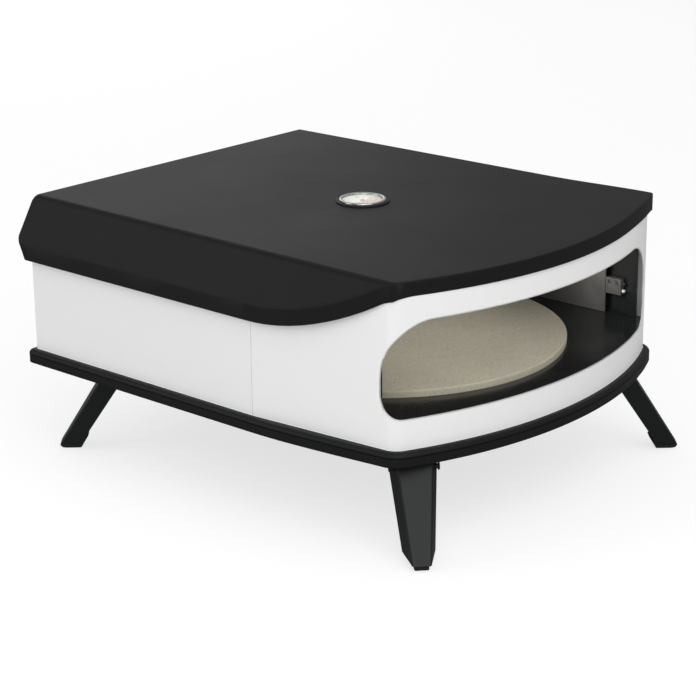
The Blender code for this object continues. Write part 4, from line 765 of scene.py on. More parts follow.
class Bench:
    """Turns finished meshes into pieces of the dressed oven, and dresses kept CAD nodes."""

    def __init__(self) -> None:
        """Start with no materials made and no pieces counted."""
        self.materials: dict[Look, Material] = {}
        self.pieces = 0

    def material(self, look: Look) -> Material:
        """Give a finish's material, made once."""
        if look not in self.materials:
            self.materials[look] = look.value.build()
        return self.materials[look]

    def piece(self, name: str, bm: BMesh, look: Look, body: Body = Body.OVEN,
              replaces: Sequence[str] = (), sheet: float = 0.0, rounding: float = 0.0,
              sharp: float = SHARP) -> Object:
        """Make a piece from a mesh.

        Args:
            name: The piece's name.
            bm: Its mesh, in place; it is used up.
            look: Its finish.
            body: The body that it moves with.
            replaces: The CAD nodes that it stands for.
            sheet: Thickness that it is given on its inner side, for bent sheet.
            rounding: Width of the rounding on its edges.
            sharp: Angle from which an edge stays sharp in its shading.

        Returns:
            The piece.
        """
        mesh = bpy.data.meshes.new(name)
        bm.to_mesh(mesh)
        bm.free()
        mesh.materials.append(self.material(look))
        thing = bpy.data.objects.new(name, mesh)
        bpy.context.scene.collection.objects.link(thing)
        if sheet:
            wall = thing.modifiers.new("sheet", "SOLIDIFY")
            wall.thickness = sheet
            wall.offset = -1.0
            wall.use_even_offset = True
        if rounding:
            edge = thing.modifiers.new("edges", "BEVEL")
            edge.width = rounding
            edge.segments = 2
            edge.limit_method = "ANGLE"
            edge.angle_limit = math.radians(40.0)
        self.settle(thing, sharp)
        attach(thing, body.value)
        if replaces:
            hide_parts(*replaces)
        self.pieces += 1
        LOG.info("piece %s: %d faces, %s", name, len(thing.data.polygons), look.value.name)
        return thing

    @staticmethod
    def settle(thing: Object, sharp: float) -> None:
        """Apply a piece's modifiers, mark its sharp edges and keep its flat faces flat.

        Args:
            thing: The piece.
            sharp: Angle from which an edge stays sharp.
        """
        graph = bpy.context.evaluated_depsgraph_get()
        shape = bpy.data.meshes.new_from_object(thing.evaluated_get(graph))
        thing.modifiers.clear()
        plain = thing.data
        thing.data = shape
        bpy.data.meshes.remove(plain)
        shape.name = thing.name
        shape.shade_smooth()
        shape.set_sharp_from_angle(angle=sharp)
        weigh = thing.modifiers.new("flats", "WEIGHTED_NORMAL")
        weigh.keep_sharp = True

    def dress(self, look: Look, *nodes: str) -> None:
        """Give kept CAD nodes a finish.

        Args:
            look: The finish.
            nodes: The nodes' names.
        """
        for name in nodes:
            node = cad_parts[name]
            node.data.materials.clear()
            node.data.materials.append(self.material(look))
            LOG.info("node %s: %s", name, look.value.name)


@dataclass(frozen=True)
class Overhang:
    """How far a piece reaches past the body.

    Attributes:
        middle: At the middle of the front.
        corner: At the front corners.
        shoulder: Where the tapered sides begin to pull away from it.
        side: Along the straight sides.
        back: At the back.
        corner_y: How far behind the front the corners end.
        shoulder_y: How far behind the front the shoulders lie.
    """

    middle: float
    corner: float
    shoulder: float
    side: float
    back: float
    corner_y: float = 0.078
    shoulder_y: float = 0.190

    @staticmethod
    def even(reach: float) -> "Overhang":
        """Give an overhang that is the same on every side."""
        return Overhang(reach, reach, reach, reach, reach)


@dataclass
class BodyPlan:
    """The body's outline from above: a bowed front, tapered sides and small corners.

    Attributes:
        seam_y: Where the front sheet meets the rear one.
        lid_top: Height of the lid's flat top.
        crease_half: Half the width of that flat top.
        lid_slope: How steeply the lid's sides fall.
        crease_radius: Radius of the bend between them.
    """

    wall_half: float = 0.2491
    front_y: float = -0.33855
    back_y: float = 0.27725
    seam_y: float = -0.08855
    front_radius: float = 0.505
    side_taper: float = math.radians(4.65)
    corner_radius: float = 0.020
    back_corner: float = 0.0040
    lid_top: float = 0.3085
    crease_half: float = 0.2344
    lid_slope: float = math.radians(66.4)
    crease_radius: float = 0.0090
    front_steps: int = 44
    corner_steps: int = 14
    side_steps: int = 12
    half: list[tuple[Vector, Vector]] = field(init=False)
    lengths: list[float] = field(init=False)
    seam: float = field(init=False)

    def __post_init__(self) -> None:
        """Work out the right half of the outline and its lengths along the sheet."""
        self.half = self.half_outline()
        self.lengths = [0.0]
        for (one, _), (other, _) in zip(self.half, self.half[1:]):
            self.lengths.append(self.lengths[-1] + (other - one).length)
        self.seam = next(length for length, (point, _) in zip(self.lengths, self.half)
                         if abs(point.y - self.seam_y) < 0.01 * MM and point.x > 0)

    def half_outline(self) -> list[tuple[Vector, Vector]]:
        """Draw the right half of the outline.

        Returns:
            Its points and outward normals, from the middle of the front to the middle of the back.
        """
        arc_centre = Vector((0.0, self.front_y + self.front_radius))
        seam_point = Vector((self.wall_half, self.seam_y))
        side_normal = Vector((math.cos(self.side_taper), -math.sin(self.side_taper)))
        forward = Vector((-math.sin(self.side_taper), -math.cos(self.side_taper)))
        inner = seam_point - side_normal * self.corner_radius - arc_centre
        along = inner.dot(forward)
        reach = (self.front_radius - self.corner_radius) ** 2 - inner.length_squared
        corner = arc_centre + inner + forward * (math.sqrt(along ** 2 + reach) - along)
        outward = (corner - arc_centre).normalized()
        arc_end = math.atan2(outward.x, -outward.y)
        side_angle = QUARTER - self.side_taper
        back = Vector((self.wall_half - self.back_corner, self.back_y - self.back_corner))
        points = self.bow(arc_centre, self.front_radius, 0.0, arc_end, self.front_steps)[:-1]
        points += self.bow(corner, self.corner_radius, arc_end, side_angle, self.corner_steps)
        start = points[-1][0]
        points += [(start.lerp(seam_point, i / self.side_steps), side_normal)
                   for i in range(1, self.side_steps + 1)]
        points += self.bow(back, self.back_corner, QUARTER, math.pi, self.corner_steps)
        points.append((Vector((0.0, self.back_y)), Vector((0.0, 1.0))))
        return points

    @staticmethod
    def bow(centre: Vector, radius: float, first: float, last: float,
            steps: int) -> list[tuple[Vector, Vector]]:
        """Give points and normals of an arc; an angle of 0 looks to -Y and a quarter turn to +X.

        Args:
            centre: Its centre.
            radius: Its radius.
            first: Its first angle.
            last: Its last angle.
            steps: Edges in it.

        Returns:
            Its points with their normals.
        """
        bow = []
        for i in range(steps + 1):
            angle = first + (last - first) * i / steps
            normal = Vector((math.sin(angle), -math.cos(angle)))
            bow.append((centre + normal * radius, normal))
        return bow

    def at(self, length: float, depth: float = 0.0) -> Vector:
        """Find the place at a length along the sheet.

        Args:
            length: Length from the middle of the front; negative is the left side.
            depth: How far it lies inside the outer face.

        Returns:
            The place from above.
        """
        side = -1.0 if length < 0 else 1.0
        length = min(abs(length), self.lengths[-1])
        i = min(max(bisect_left(self.lengths, length - MERGE), 1), len(self.lengths) - 1)
        share = (length - self.lengths[i - 1]) / (self.lengths[i] - self.lengths[i - 1])
        place = self.half[i - 1][0].lerp(self.half[i][0], share)
        normal = self.half[i - 1][1].lerp(self.half[i][1], share).normalized()
        place = place - normal * depth
        return Vector((side * place.x, place.y))

    def outline(self, hang: Overhang) -> Pairs:
        """Give the outline of a piece that reaches past the body.

        Args:
            hang: How far it reaches past the body on each side.

        Returns:
            Its corners, anticlockwise from the middle of the front.
        """
        half = []
        corner_x = max(point.x for point, _ in self.half if point.y < self.front_y + hang.corner_y)
        for point, normal in self.half:
            if point.y > self.back_y - self.back_corner - MERGE and point.x > 0.0:
                drawn_in = min(hang.side, hang.back, 0.0)
                half.append(point + Vector((hang.side, hang.back))
                            + (normal - Vector((1.0, 1.0))) * drawn_in)
                continue
            if point.y > self.seam_y:
                half.append(point + Vector((normal.x * hang.side, normal.y * hang.back)))
                continue
            ahead = point.y - self.front_y
            if ahead > hang.shoulder_y:
                behind = self.seam_y - self.front_y - hang.shoulder_y
                share = self.swell((self.seam_y - point.y) / behind)
                grow = hang.side + (hang.shoulder - hang.side) * share
            elif ahead > hang.corner_y:
                share = self.swell((ahead - hang.corner_y) / (hang.shoulder_y - hang.corner_y))
                grow = hang.corner + (hang.shoulder - hang.corner) * share
            else:
                grow = hang.middle + (hang.corner - hang.middle) * self.ease(point.x / corner_x)
            half.append(point + normal * grow)
        left = [Vector((-point.x, point.y)) for point in reversed(half[1:-1])]
        return [(point.x, point.y) for point in half + left]

    @staticmethod
    def ease(value: float) -> float:
        """Blend smoothly from 0 to 1."""
        value = min(max(value, 0.0), 1.0)
        return value * value * (3.0 - 2.0 * value)

    @staticmethod
    def swell(value: float) -> float:
        """Rise quickly from 0 and level off at 1."""
        value = min(max(value, 0.0), 1.0)
        return value * (2.0 - value)

    def lid_drop(self, x: float) -> float:
        """Give how far the lid's face lies below its flat top.

        Args:
            x: The place across the lid.

        Returns:
            The drop there.
        """
        tangent = self.crease_radius * math.tan(self.lid_slope / 2)
        past = abs(x) - self.crease_half + tangent
        if past <= 0.0:
            return 0.0
        if past < self.crease_radius * math.sin(self.lid_slope):
            return self.crease_radius - math.sqrt(self.crease_radius ** 2 - past ** 2)
        return (abs(x) - self.crease_half) * math.tan(self.lid_slope)

    def bend(self, bm: BMesh, centre: float, depth: float = 0.0) -> None:
        """Bend a sheet, drawn flat as length, depth and height, round the outline.

        Args:
            bm: The flat sheet.
            centre: The length along the outline that its own zero lies on.
            depth: How far the sheet lies inside the outer face.
        """
        whole = 2 * self.lengths[-1]
        bends = {*self.lengths, *(-length for length in self.lengths),
                 *(whole - length for length in self.lengths)}
        low = min(corner.co.x for corner in bm.verts)
        high = max(corner.co.x for corner in bm.verts)
        for bend in sorted(bends):
            if low + MERGE < bend - centre < high - MERGE:
                cut(bm, (bend - centre, 0.0, 0.0), ACROSS)
        for corner in bm.verts:
            length = corner.co.x + centre
            length = length - whole if length > self.lengths[-1] else length
            place = self.at(length, depth + corner.co.y)
            corner.co = (place.x, place.y, corner.co.z)


@dataclass
class SubAssembly:
    """A group of pieces that are built together.

    Attributes:
        bench: Where they are made.
    """

    bench: Bench


@dataclass
class BodyShell(SubAssembly):
    """The white outer sheets and the enamelled liner behind them.

    Attributes:
        under_lid: How far the sheets stay below the lid's face.
        hem_out: How far the rolled lower edge stands out.
        hem_rise: Height of that rolled edge.
        mouth_half: Half the mouth's width along the sheet.
        mouth_shift: Its middle along the sheet.
        mouth_flat: Width of the flat band round it that keeps the sheet's shading even.
        liner_corner: Radius of the outline that the liner's back corners follow.
        liner_right: Where the liner begins along the right side.
        liner_left: Where it ends along the left side, clear of the mouth.
    """

    plan: BodyPlan
    bottom: float = 0.1224
    sheet: float = 0.0010
    seam_gap: float = 0.0006
    under_lid: float = 0.0080
    hem_out: float = 0.0005
    hem_rise: float = 0.0012
    mouth_half: float = 0.2402
    mouth_shift: float = -0.0183
    mouth_low: float = 0.1571
    mouth_high: float = 0.2646
    mouth_top_corner: float = 0.064
    mouth_low_corner: float = 0.026
    mouth_top_steps: int = 14
    mouth_low_steps: int = 10
    mouth_flat: float = 0.0012
    liner_gap: float = 0.0076
    liner_corner: float = 0.0100
    liner_sheet: float = 0.0008
    liner_right: float = 0.242
    liner_left: float = 0.262
    liner_low: float = 0.1578
    liner_high: float = 0.2830
    burner_x: float = 0.2270
    burner_z: float = 0.1760
    burner_hole: float = 0.0068
    burner_steps: int = 32

    def build(self) -> None:
        """Build the three sheets."""
        middle = self.plan.lengths[-1]
        edge = self.plan.seam - self.seam_gap / 2
        for name, bm, look, node, sheet in (
                ("front_sheet", self.front(edge), Look.WALL, "front_panel", self.sheet),
                ("rear_sheet", self.rear(middle - self.plan.seam - self.seam_gap / 2, middle),
                 Look.WALL, "rear_panel", self.sheet),
                ("liner_sheet", self.liner(), Look.LINER, "inner_liner", self.liner_sheet)):
            self.bench.piece(name, bm, look, replaces=(node,), sheet=sheet)

    def front(self, edge: float) -> BMesh:
        """Build the front sheet with its mouth.

        Args:
            edge: Length along the outline at which the sheet ends on either side.

        Returns:
            The bent sheet.
        """
        bm = bmesh.new()
        grow = self.mouth_flat
        upright_face(bm, self.mouth_shift - self.mouth_half - grow,
                     self.mouth_shift + self.mouth_half + grow,
                     self.mouth_low - grow, self.mouth_high + grow)
        middle = (self.mouth_low + self.mouth_high) / 2
        upper = [corner for corner in bm.verts if corner.co.z > middle]
        lower = [corner for corner in bm.verts if corner.co.z < middle]
        rounded(bm, upper, self.mouth_top_corner + grow, self.mouth_top_steps, "VERTICES")
        rounded(bm, lower, self.mouth_low_corner + grow, self.mouth_low_steps, "VERTICES")
        opening = bm.faces[:]
        rim = bm.edges[:]
        press(bm, opening, [(grow, 0.0)])
        drop_faces(bm, opening)
        return self.clad(bm, edge, rim, 0.0)

    def rear(self, half: float, middle: float) -> BMesh:
        """Build the rear sheet, which wraps three sides, with the burner's hole.

        Args:
            half: Half its length.
            middle: Length along the outline to the middle of the back.

        Returns:
            The bent sheet.
        """
        bm = bmesh.new()
        punch(bm, -self.burner_x, self.burner_z, self.burner_hole, self.burner_steps)
        return self.clad(bm, half, bm.edges[:], middle)

    def clad(self, bm: BMesh, edge: float, rim: list[BMEdge], centre: float) -> BMesh:
        """Add the sheet round a rim, roll its lower edge, bend it and trim it to the lid's slope.

        Args:
            bm: The flat mesh.
            edge: Half the sheet's length.
            rim: The edges of the hole in it.
            centre: The length along the outline that its middle lies on.

        Returns:
            The bent sheet.
        """
        plan = self.plan
        start = self.bottom + self.hem_rise
        lay_sheet(bm, rim, -edge, edge, start, plan.lid_top)
        foot = [item for item in bm.edges if all(abs(v.co.z - start) < MERGE for v in item.verts)]
        draw_rim(bm, foot, [(0.0, -self.hem_out / 3, -self.hem_rise / 2),
                            (0.0, -self.hem_out * 2 / 3, -self.hem_rise / 2)])
        cut(bm, (0.0, 0.0, start + self.hem_rise), UP)
        plan.bend(bm, centre)
        top = plan.lid_top - self.under_lid
        cut(bm, (0.0, 0.0, top), UP, clear=True)
        for side in (-1.0, 1.0):
            cut(bm, (side * plan.crease_half, 0.0, top),
                (side * math.sin(plan.lid_slope), 0.0, math.cos(plan.lid_slope)), clear=True)
        return welded(bm)

    def liner(self) -> BMesh:
        """Build the liner, which stands inside the rear sheet.

        Returns:
            The bent sheet.
        """
        plan = replace(self.plan, back_corner=self.liner_corner)
        middle = plan.lengths[-1]
        bm = bmesh.new()
        punch(bm, -self.burner_x, self.burner_z, self.burner_hole, self.burner_steps)
        lay_sheet(bm, bm.edges[:], self.liner_right - middle, middle - self.liner_left,
                  self.liner_low, self.liner_high)
        plan.bend(bm, middle, self.liner_gap)
        return welded(bm)


@dataclass
class Lid(SubAssembly):
    """The black lid: flat in the middle, steep at the sides, with a skirt all round.

    Attributes:
        hang: How far the lid reaches past the body.
        skirt: Height of the skirt at the sides and the back.
        front_skirt: Its height at the front.
        step_out: How far past the bend the front's height begins to give way to the sides'.
        corner: Radius of the outline that the front corners follow.
        flare: How far the back bulges out at its corners.
        flare_depth: How far below the top the bulge ends.
        flare_from: How far from the middle it begins.
        crown: How far the face is sprung up away from the dial.
        twist: How much more it is sprung up at the right front corner and the one across.
        dial_flat: How far round the dial it stays flat.
        spring_in: Width in which the spring grows.
        reach: How far the right front corner is drawn out.
        reach_from: How far from the middle that begins.
        grid_shift: Share of it that keeps them off other lines.
    """

    plan: BodyPlan
    hang: Overhang = Overhang(0.0032, 0.0004, 0.0114, 0.0088, 0.0032, corner_y=0.060)
    skirt: float = 0.020
    front_skirt: float = 0.0166
    step_out: float = 0.0076
    step_width: float = 0.030
    edge_round: float = 0.0022
    hem: float = 0.0008
    sheet: float = 0.0010
    corner: float = 0.0060
    flare: float = 0.0120
    flare_depth: float = 0.0735
    flare_from: float = 0.1900
    crown: float = 0.0017
    twist: float = 0.0012
    dial_flat: float = 0.045
    spring_in: float = 0.100
    reach: float = 0.0085
    reach_from: float = 0.140
    reach_width: float = 0.095
    reach_length: float = 0.140
    dial_gap: float = FIT
    screw_x: float = 0.1644
    bend_steps: int = 8
    grid: float = 0.050
    grid_shift: float = 0.3

    def build(self) -> None:
        """Build the lid and its screws."""
        self.bench.piece("lid_sheet", self.cover(), Look.LID, replaces=("lid_cover",),
                         sheet=self.sheet)
        for name, x in (("left", -self.screw_x), ("middle", 0.0), ("right", self.screw_x)):
            low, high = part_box(f"{name}_lid_screw")
            place = Vector((x, high.y, (low.z + high.z) / 2))
            self.bench.piece(f"{name}_lid_screw_head", Screw().build(place, BACKWARD), Look.STEEL,
                             replaces=(f"{name}_lid_screw",))

    def cover(self) -> BMesh:
        """Press the face, draw the skirt and fold the sides down.

        Returns:
            The bent sheet.
        """
        plan = replace(self.plan, corner_radius=self.corner)
        low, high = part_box("thermometer_bezel")
        dial = (low + high) / 2
        bm = bmesh.new()
        face = flat_face(bm, plan.outline(self.hang), plan.lid_top - self.edge_round)
        rim = list(face.edges)
        press(bm, [face], arc_steps(self.edge_round, -90.0, 0.0, 5))
        edge = list(face.edges)
        drop_faces(bm, [face])
        hole = bmesh.ops.create_circle(
            bm, cap_ends=False, segments=96, radius=(high.x - low.x) / 2 + self.dial_gap,
            matrix=Matrix.Translation((dial.x, dial.y, plan.lid_top)))["verts"]
        around = dict.fromkeys(item for corner in hole for item in corner.link_edges)
        fill_between(bm, edge + list(around), UP)
        self.draw_skirt(bm, rim)
        self.cut_bends(bm)
        for corner in bm.verts:
            self.shape(corner, dial)
        return welded(bm)

    def draw_skirt(self, bm: BMesh, rim: list[BMEdge]) -> None:
        """Draw the skirt down, and lift it at the front.

        Args:
            bm: The flat lid.
            rim: The lower edge of its rounding.
        """
        start = self.plan.lid_top - self.edge_round
        wall = self.skirt - self.edge_round - self.hem
        draw_rim(bm, rim, [(0.0, 0.0, -wall), (0.0, 0.0, -self.hem)])
        for corner in bm.verts:
            depth = start - corner.co.z
            if depth > MERGE and corner.co.y < 0.0:
                inside = self.plan.crease_half + self.step_out - abs(corner.co.x)
                lift = BodyPlan.ease(inside / self.step_width) * (self.skirt - self.front_skirt)
                corner.co.z += lift * depth / wall

    def cut_bends(self, bm: BMesh) -> None:
        """Cut the sheet where it bends, and in a wide grid where it springs.

        Args:
            bm: The flat lid.
        """
        plan = self.plan
        start = plan.crease_half - plan.crease_radius * math.tan(plan.lid_slope / 2)
        span = plan.crease_radius * math.sin(plan.lid_slope)
        for side in (-1.0, 1.0):
            for i in range(self.bend_steps + 1):
                cut(bm, (side * (start + span * i / self.bend_steps), 0.0, 0.0), ACROSS)
        for i in range(-4, 5):
            cut(bm, (i * self.grid, 0.0, 0.0), ACROSS)
        for i in range(-6, 6):
            cut(bm, (0.0, (i + self.grid_shift) * self.grid, 0.0), BACKWARD)

    def shape(self, corner: BMVert, dial: Vector) -> None:
        """Move one point of the flat lid to where the finished lid has it.

        Args:
            corner: The point.
            dial: The dial's middle.
        """
        plan = self.plan
        x, y, _ = corner.co
        corner.co.z -= plan.lid_drop(x)
        depth = plan.lid_top - corner.co.z
        if y > plan.back_y - plan.back_corner / 2:
            out = plan.ease((abs(x) - self.flare_from) / (plan.crease_half - self.flare_from))
            corner.co.y += self.flare * out * math.sin(math.pi * min(depth / self.flare_depth, 1.0))
        away = plan.ease((math.hypot(x - dial.x, y - dial.y) - self.dial_flat) / self.spring_in)
        across = max(-1.0, min(1.0, x * y / (plan.crease_half * plan.back_y)))
        spring = self.crown - self.twist * across
        corner.co.z += spring * away * (1.0 - plan.ease(depth / self.front_skirt))
        corner.co.x += (self.reach * plan.ease((x - self.reach_from) / self.reach_width)
                        * plan.ease((-self.reach_from - y) / self.reach_length))


@dataclass
class Screw:
    """A button-head screw with a hexagon socket.

    Attributes:
        head: Radius of the head.
        socket: Half the width across the socket's flats.
        shank: Radius of the shank.
    """

    head: float = 0.0040
    rise: float = 0.0022
    socket: float = 0.0014
    depth: float = 0.0012
    shank: float = 0.0020
    length: float = 0.0060

    def build(self, top: Vector, outward: Vector) -> BMesh:
        """Build the screw.

        Args:
            top: The middle of its head's outer face.
            outward: The way that its head looks.

        Returns:
            The screw's mesh.
        """
        bm = turned([(0.0, -self.depth), (self.socket, -self.depth), (self.socket, 0.0),
                     (self.head * 0.62, 0.0), (self.head, -self.rise * 0.75), (self.head, -self.rise),
                     (self.shank, -self.rise), (self.shank, -self.rise - self.length),
                     (0.0, -self.rise - self.length)],
                    {3: self.head * 0.22, 4: self.rise * 0.2}, steps=24, segments=3)
        for corner in bm.verts:
            flat = corner.co.to_2d()
            if MERGE < flat.length < self.socket + MERGE and corner.co.z > -self.rise:
                turn = hexagon_angle(flat)
                corner.co.x /= math.cos(turn)
                corner.co.y /= math.cos(turn)
        return moved(bm, between(top, top + outward))


@dataclass
class Base(SubAssembly):
    """The black tray, the cooking floor with its pressed dish, and the rails between them.

    Attributes:
        hang: How far the tray reaches past the body.
        low_round: Radius round its lower edge.
        shoulder: Radius round its upper edge.
        lip: How far its flat ledge reaches in under the body.
        rim_round: Radius of the rim of the floor's dish.
    """

    plan: BodyPlan
    tray_low: float = 0.1050
    tray_top: float = 0.1221
    hang: Overhang = Overhang(0.0080, 0.0084, 0.0112, 0.0087, 0.0080)
    back_corner: float = 0.0085
    low_round: float = 0.0025
    shoulder: float = 0.0055
    lip: float = 0.0063
    tray_sheet: float = 0.0012
    floor_top: float = 0.1575
    floor_edge: float = 0.0015
    floor_sheet: float = 0.0012
    dish_floor: float = 0.1525
    dish_gap: float = 0.0015
    rim_round: float = 0.0010
    hub_hole: float = 0.0120

    def build(self) -> None:
        """Build the tray and the floor, and dress the rails and the bearing."""
        self.bench.piece("tray_sheet", self.tray(), Look.TRAY, replaces=("base_tray",),
                         sheet=self.tray_sheet)
        self.bench.piece("floor_sheet", self.floor(), Look.LINER, replaces=("cooking_floor",),
                         sheet=self.floor_sheet)
        self.bench.dress(Look.ZINC, "front_floor_rail", "rear_floor_rail")
        self.bench.dress(Look.BRASS, "spindle_bearing")

    def tray(self) -> BMesh:
        """Press the bottom, draw up the wall and turn its shoulder into the ledge.

        Returns:
            The tray's sheet.
        """
        bm = bmesh.new()
        plan = replace(self.plan, back_corner=self.back_corner)
        outline = plan.outline(self.hang)
        bottom = flat_face(bm, outline, self.tray_low + self.low_round, up=False)
        rim = list(bottom.edges)
        press(bm, [bottom], arc_steps(self.low_round, -90.0, 0.0, 4))
        wall = self.tray_top - self.shoulder - self.tray_low - self.low_round
        draw_rim(bm, rim, [(0.0, 0.0, wall)])
        ledge = flat_face(bm, outline, self.tray_top - self.shoulder)
        press(bm, [ledge], arc_steps(self.shoulder, -90.0, 0.0, 6))
        edge = list(ledge.edges)
        drop_faces(bm, [ledge])
        under = plan.outline(Overhang.even(-self.lip))
        fill_between(bm, edge + closed_line(bm, under, self.tray_top), UP)
        return settled(bm)

    def floor(self) -> BMesh:
        """Press the round dish into the floor and punch the spindle's hole.

        Returns:
            The floor's sheet.
        """
        low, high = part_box("baking_stone")
        centre = (low + high) / 2
        radius = (high.x - low.x) / 2 + self.dish_gap
        bm = bmesh.new()
        made = bmesh.ops.create_circle(
            bm, cap_ends=True, segments=128, radius=radius + self.rim_round,
            matrix=Matrix.Translation((centre.x, centre.y, self.floor_top)))
        dish = made["verts"][0].link_faces[0]
        rim = list(dish.edges)
        wall = self.floor_top - self.dish_floor - 2 * self.rim_round
        bottom = radius - self.rim_round - self.hub_hole
        press(bm, [dish], arc_steps(self.rim_round, 0.0, 90.0, 3) + [(0.0, wall)]
              + arc_steps(self.rim_round, 90.0, 0.0, 3) + [(bottom, 0.0)])
        drop_faces(bm, [dish])
        outline = closed_line(bm, self.plan.outline(Overhang.even(-self.floor_edge)), self.floor_top)
        fill_between(bm, outline + rim, UP)
        return welded(bm)


@dataclass
class Turntable(SubAssembly):
    """The round baking stone on its steel carrier.

    Attributes:
        edge: Radius of the stone's upper edge.
        groove_in: Inner radius of the groove that takes the carrier's pins.
        groove_out: Outer radius of that groove.
    """

    edge: float = 0.0020
    groove_in: float = 0.0600
    groove_out: float = 0.0700
    groove: float = 0.0036

    def build(self) -> None:
        """Build the stone and dress its carrier."""
        low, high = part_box("baking_stone")
        radius = (high.x - low.x) / 2
        roof = low.z + self.groove
        bm = turned([(0.0, high.z), (radius, high.z), (radius, low.z), (self.groove_out, low.z),
                     (self.groove_out, roof), (self.groove_in, roof), (self.groove_in, low.z),
                     (0.0, low.z)], {1: self.edge, 2: self.edge}, steps=160)
        centre = (low + high) / 2
        place = Matrix.Translation((centre.x, centre.y, 0.0))
        self.bench.piece("turning_baking_stone", moved(bm, place), Look.STONE, Body.STONE,
                         replaces=("baking_stone",))
        self.bench.dress(Look.STEEL, "stone_carrier")


@dataclass
class Thermometer(SubAssembly):
    """The dial thermometer on the lid.

    Attributes:
        rim: Width of the bright ring.
        lip: Height of its lip over the glass.
        sweep: Angle that the scale covers, in degrees.
        figures: The plain numbers round it.
        figure_at: How far out they stand, as a share of the part that shows.
        shown: Share of the dial's radius that shows.
        tail: The needle's tail as a share of its length.
    """

    rim: float = 0.0024
    lip: float = 0.0012
    ring_round: float = 0.0016
    sweep: float = 270.0
    figures: tuple[str, ...] = ("0", "100", "200", "300", "400", "500")
    figure_size: float = 0.0046
    figure_at: float = 0.66
    shown: float = 0.91
    tick: float = 0.0030
    tick_wide: float = 0.00055
    tick_fine: float = 0.00035
    stem: float = 0.0032
    stem_round: float = 0.0022
    thread: float = 0.0055
    pitch: float = 0.0010
    case_low: float = 0.3020
    case_round: float = 0.0010
    thread_high: float = 0.2850
    thread_low: float = 0.2770
    tail: float = 0.32
    needle_wide: float = 0.0026
    needle_point: float = 0.0006
    hub: float = 0.0026
    pivot: float = 0.0007
    pivot_length: float = 0.0020

    def build(self) -> None:
        """Build the seat, case, ring, glass, dial and needle."""
        low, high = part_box("thermometer_bezel")
        centre = Vector(((low.x + high.x) / 2, (low.y + high.y) / 2, 0.0))
        place = Matrix.Translation(centre)
        outer = (high.x - low.x) / 2
        inner = outer - self.rim
        self.disc("thermometer_rubber_seat", "thermometer_seat", Look.SEAT, place, outer + FIT,
                  {1: self.case_round})
        self.case(place, outer, inner)
        ring = turned([(inner, high.z), (outer, high.z), (outer, low.z), (inner + FIT, low.z),
                       (inner + FIT, high.z - self.lip), (inner - self.rim / 2, high.z - self.lip),
                       (inner - self.rim / 2, high.z - self.lip / 2), (inner, high.z)],
                      {1: self.ring_round, 0: self.ring_round / 4}, steps=96, segments=6)
        self.bench.piece("thermometer_bright_ring", moved(ring, place), Look.CHROME,
                         replaces=("thermometer_bezel",), sharp=math.radians(50.0))
        self.disc("thermometer_glass", "thermometer_lens", Look.GLASS, place, 0.0,
                  {1: 0.2 * MM, 2: 0.2 * MM}, 2)
        self.disc("thermometer_dial_plate", "thermometer_dial", Look.DIAL, place, 1.0 * MM)
        self.face(place)
        self.needle(centre)
        self.bench.dress(Look.STEEL, "thermometer_nut")

    def disc(self, name: str, node: str, look: Look, place: Matrix, bore: float,
             rounds: dict[int, float] | None = None, segments: int = 5) -> None:
        """Build a flat disc or ring that fills the box of its CAD node.

        Args:
            name: The piece's name.
            node: The CAD node that it stands for.
            look: Its finish.
            place: The dial's axis.
            bore: Radius of its hole, or 0.
            rounds: Radii of rounded corners, by number.
            segments: Edges in each rounded corner.
        """
        low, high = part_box(node)
        radius = (high.x - low.x) / 2
        profile = [(bore, high.z), (radius, high.z), (radius, low.z), (bore, low.z)]
        bm = turned(profile + profile[:1] * (bore > 0), rounds, steps=96, segments=segments)
        self.bench.piece(name, moved(bm, place), look, replaces=(node,))

    def case(self, place: Matrix, outer: float, inner: float) -> None:
        """Build the cup with its threaded neck and the probe that hangs into the oven.

        Args:
            place: The dial's axis.
            outer: Radius of the cup.
            inner: Radius inside it.
        """
        low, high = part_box("thermometer_case")
        floor = self.case_low + self.rim / 2
        profile = [(0.0, floor), (inner, floor), (inner, high.z), (outer, high.z),
                   (outer, self.case_low), (self.thread, self.case_low)]
        root = self.thread - self.pitch / 2
        height = self.thread_high
        while height - self.pitch > self.thread_low:
            profile += [(self.thread, height), (root, height - self.pitch / 2)]
            height -= self.pitch
        profile += [(root, self.thread_low), (self.stem, self.thread_low), (self.stem, low.z),
                    (0.0, low.z)]
        cup = turned(profile, {4: self.case_round, len(profile) - 2: self.stem_round}, steps=64)
        self.bench.piece("thermometer_cup_and_probe", moved(cup, place), Look.STEEL,
                         replaces=("thermometer_case",))

    def face(self, place: Matrix) -> None:
        """Print the dial's marks and numbers, and lay a warm brown painted reflection over its front half.

        Args:
            place: The dial's axis.
        """
        low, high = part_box("thermometer_dial")
        shown = (high.x - low.x) / 2 * self.shown
        # Painted reflection: the dial's front half is coloured warm brown.
        band = bmesh.new()
        bmesh.ops.create_circle(band, cap_ends=True, segments=96, radius=shown)
        cut(band, (0.0, 0.0, 0.0), BACKWARD, clear=True)
        rise = Matrix.Translation((0.0, 0.0, high.z + 0.03 * MM))
        self.bench.piece("thermometer_painted_reflection_band", moved(printed(band), place @ rise), Look.DIAL_PAINTED_REFLECTION)
        marks = [self.marks(shown)]
        far = shown * self.figure_at
        for i, text in enumerate(self.figures):
            turn = math.radians(90.0 + self.sweep / 2 - self.sweep * i / (len(self.figures) - 1))
            spot = Matrix.Translation((math.cos(turn) * far, math.sin(turn) * far, 0.0))
            marks.append(moved(figure(text, self.figure_size), spot))
        rise = Matrix.Translation((0.0, 0.0, high.z + 0.08 * MM))
        self.bench.piece("thermometer_scale", moved(printed(joined(*marks)), place @ rise),
                         Look.DIAL_INK)

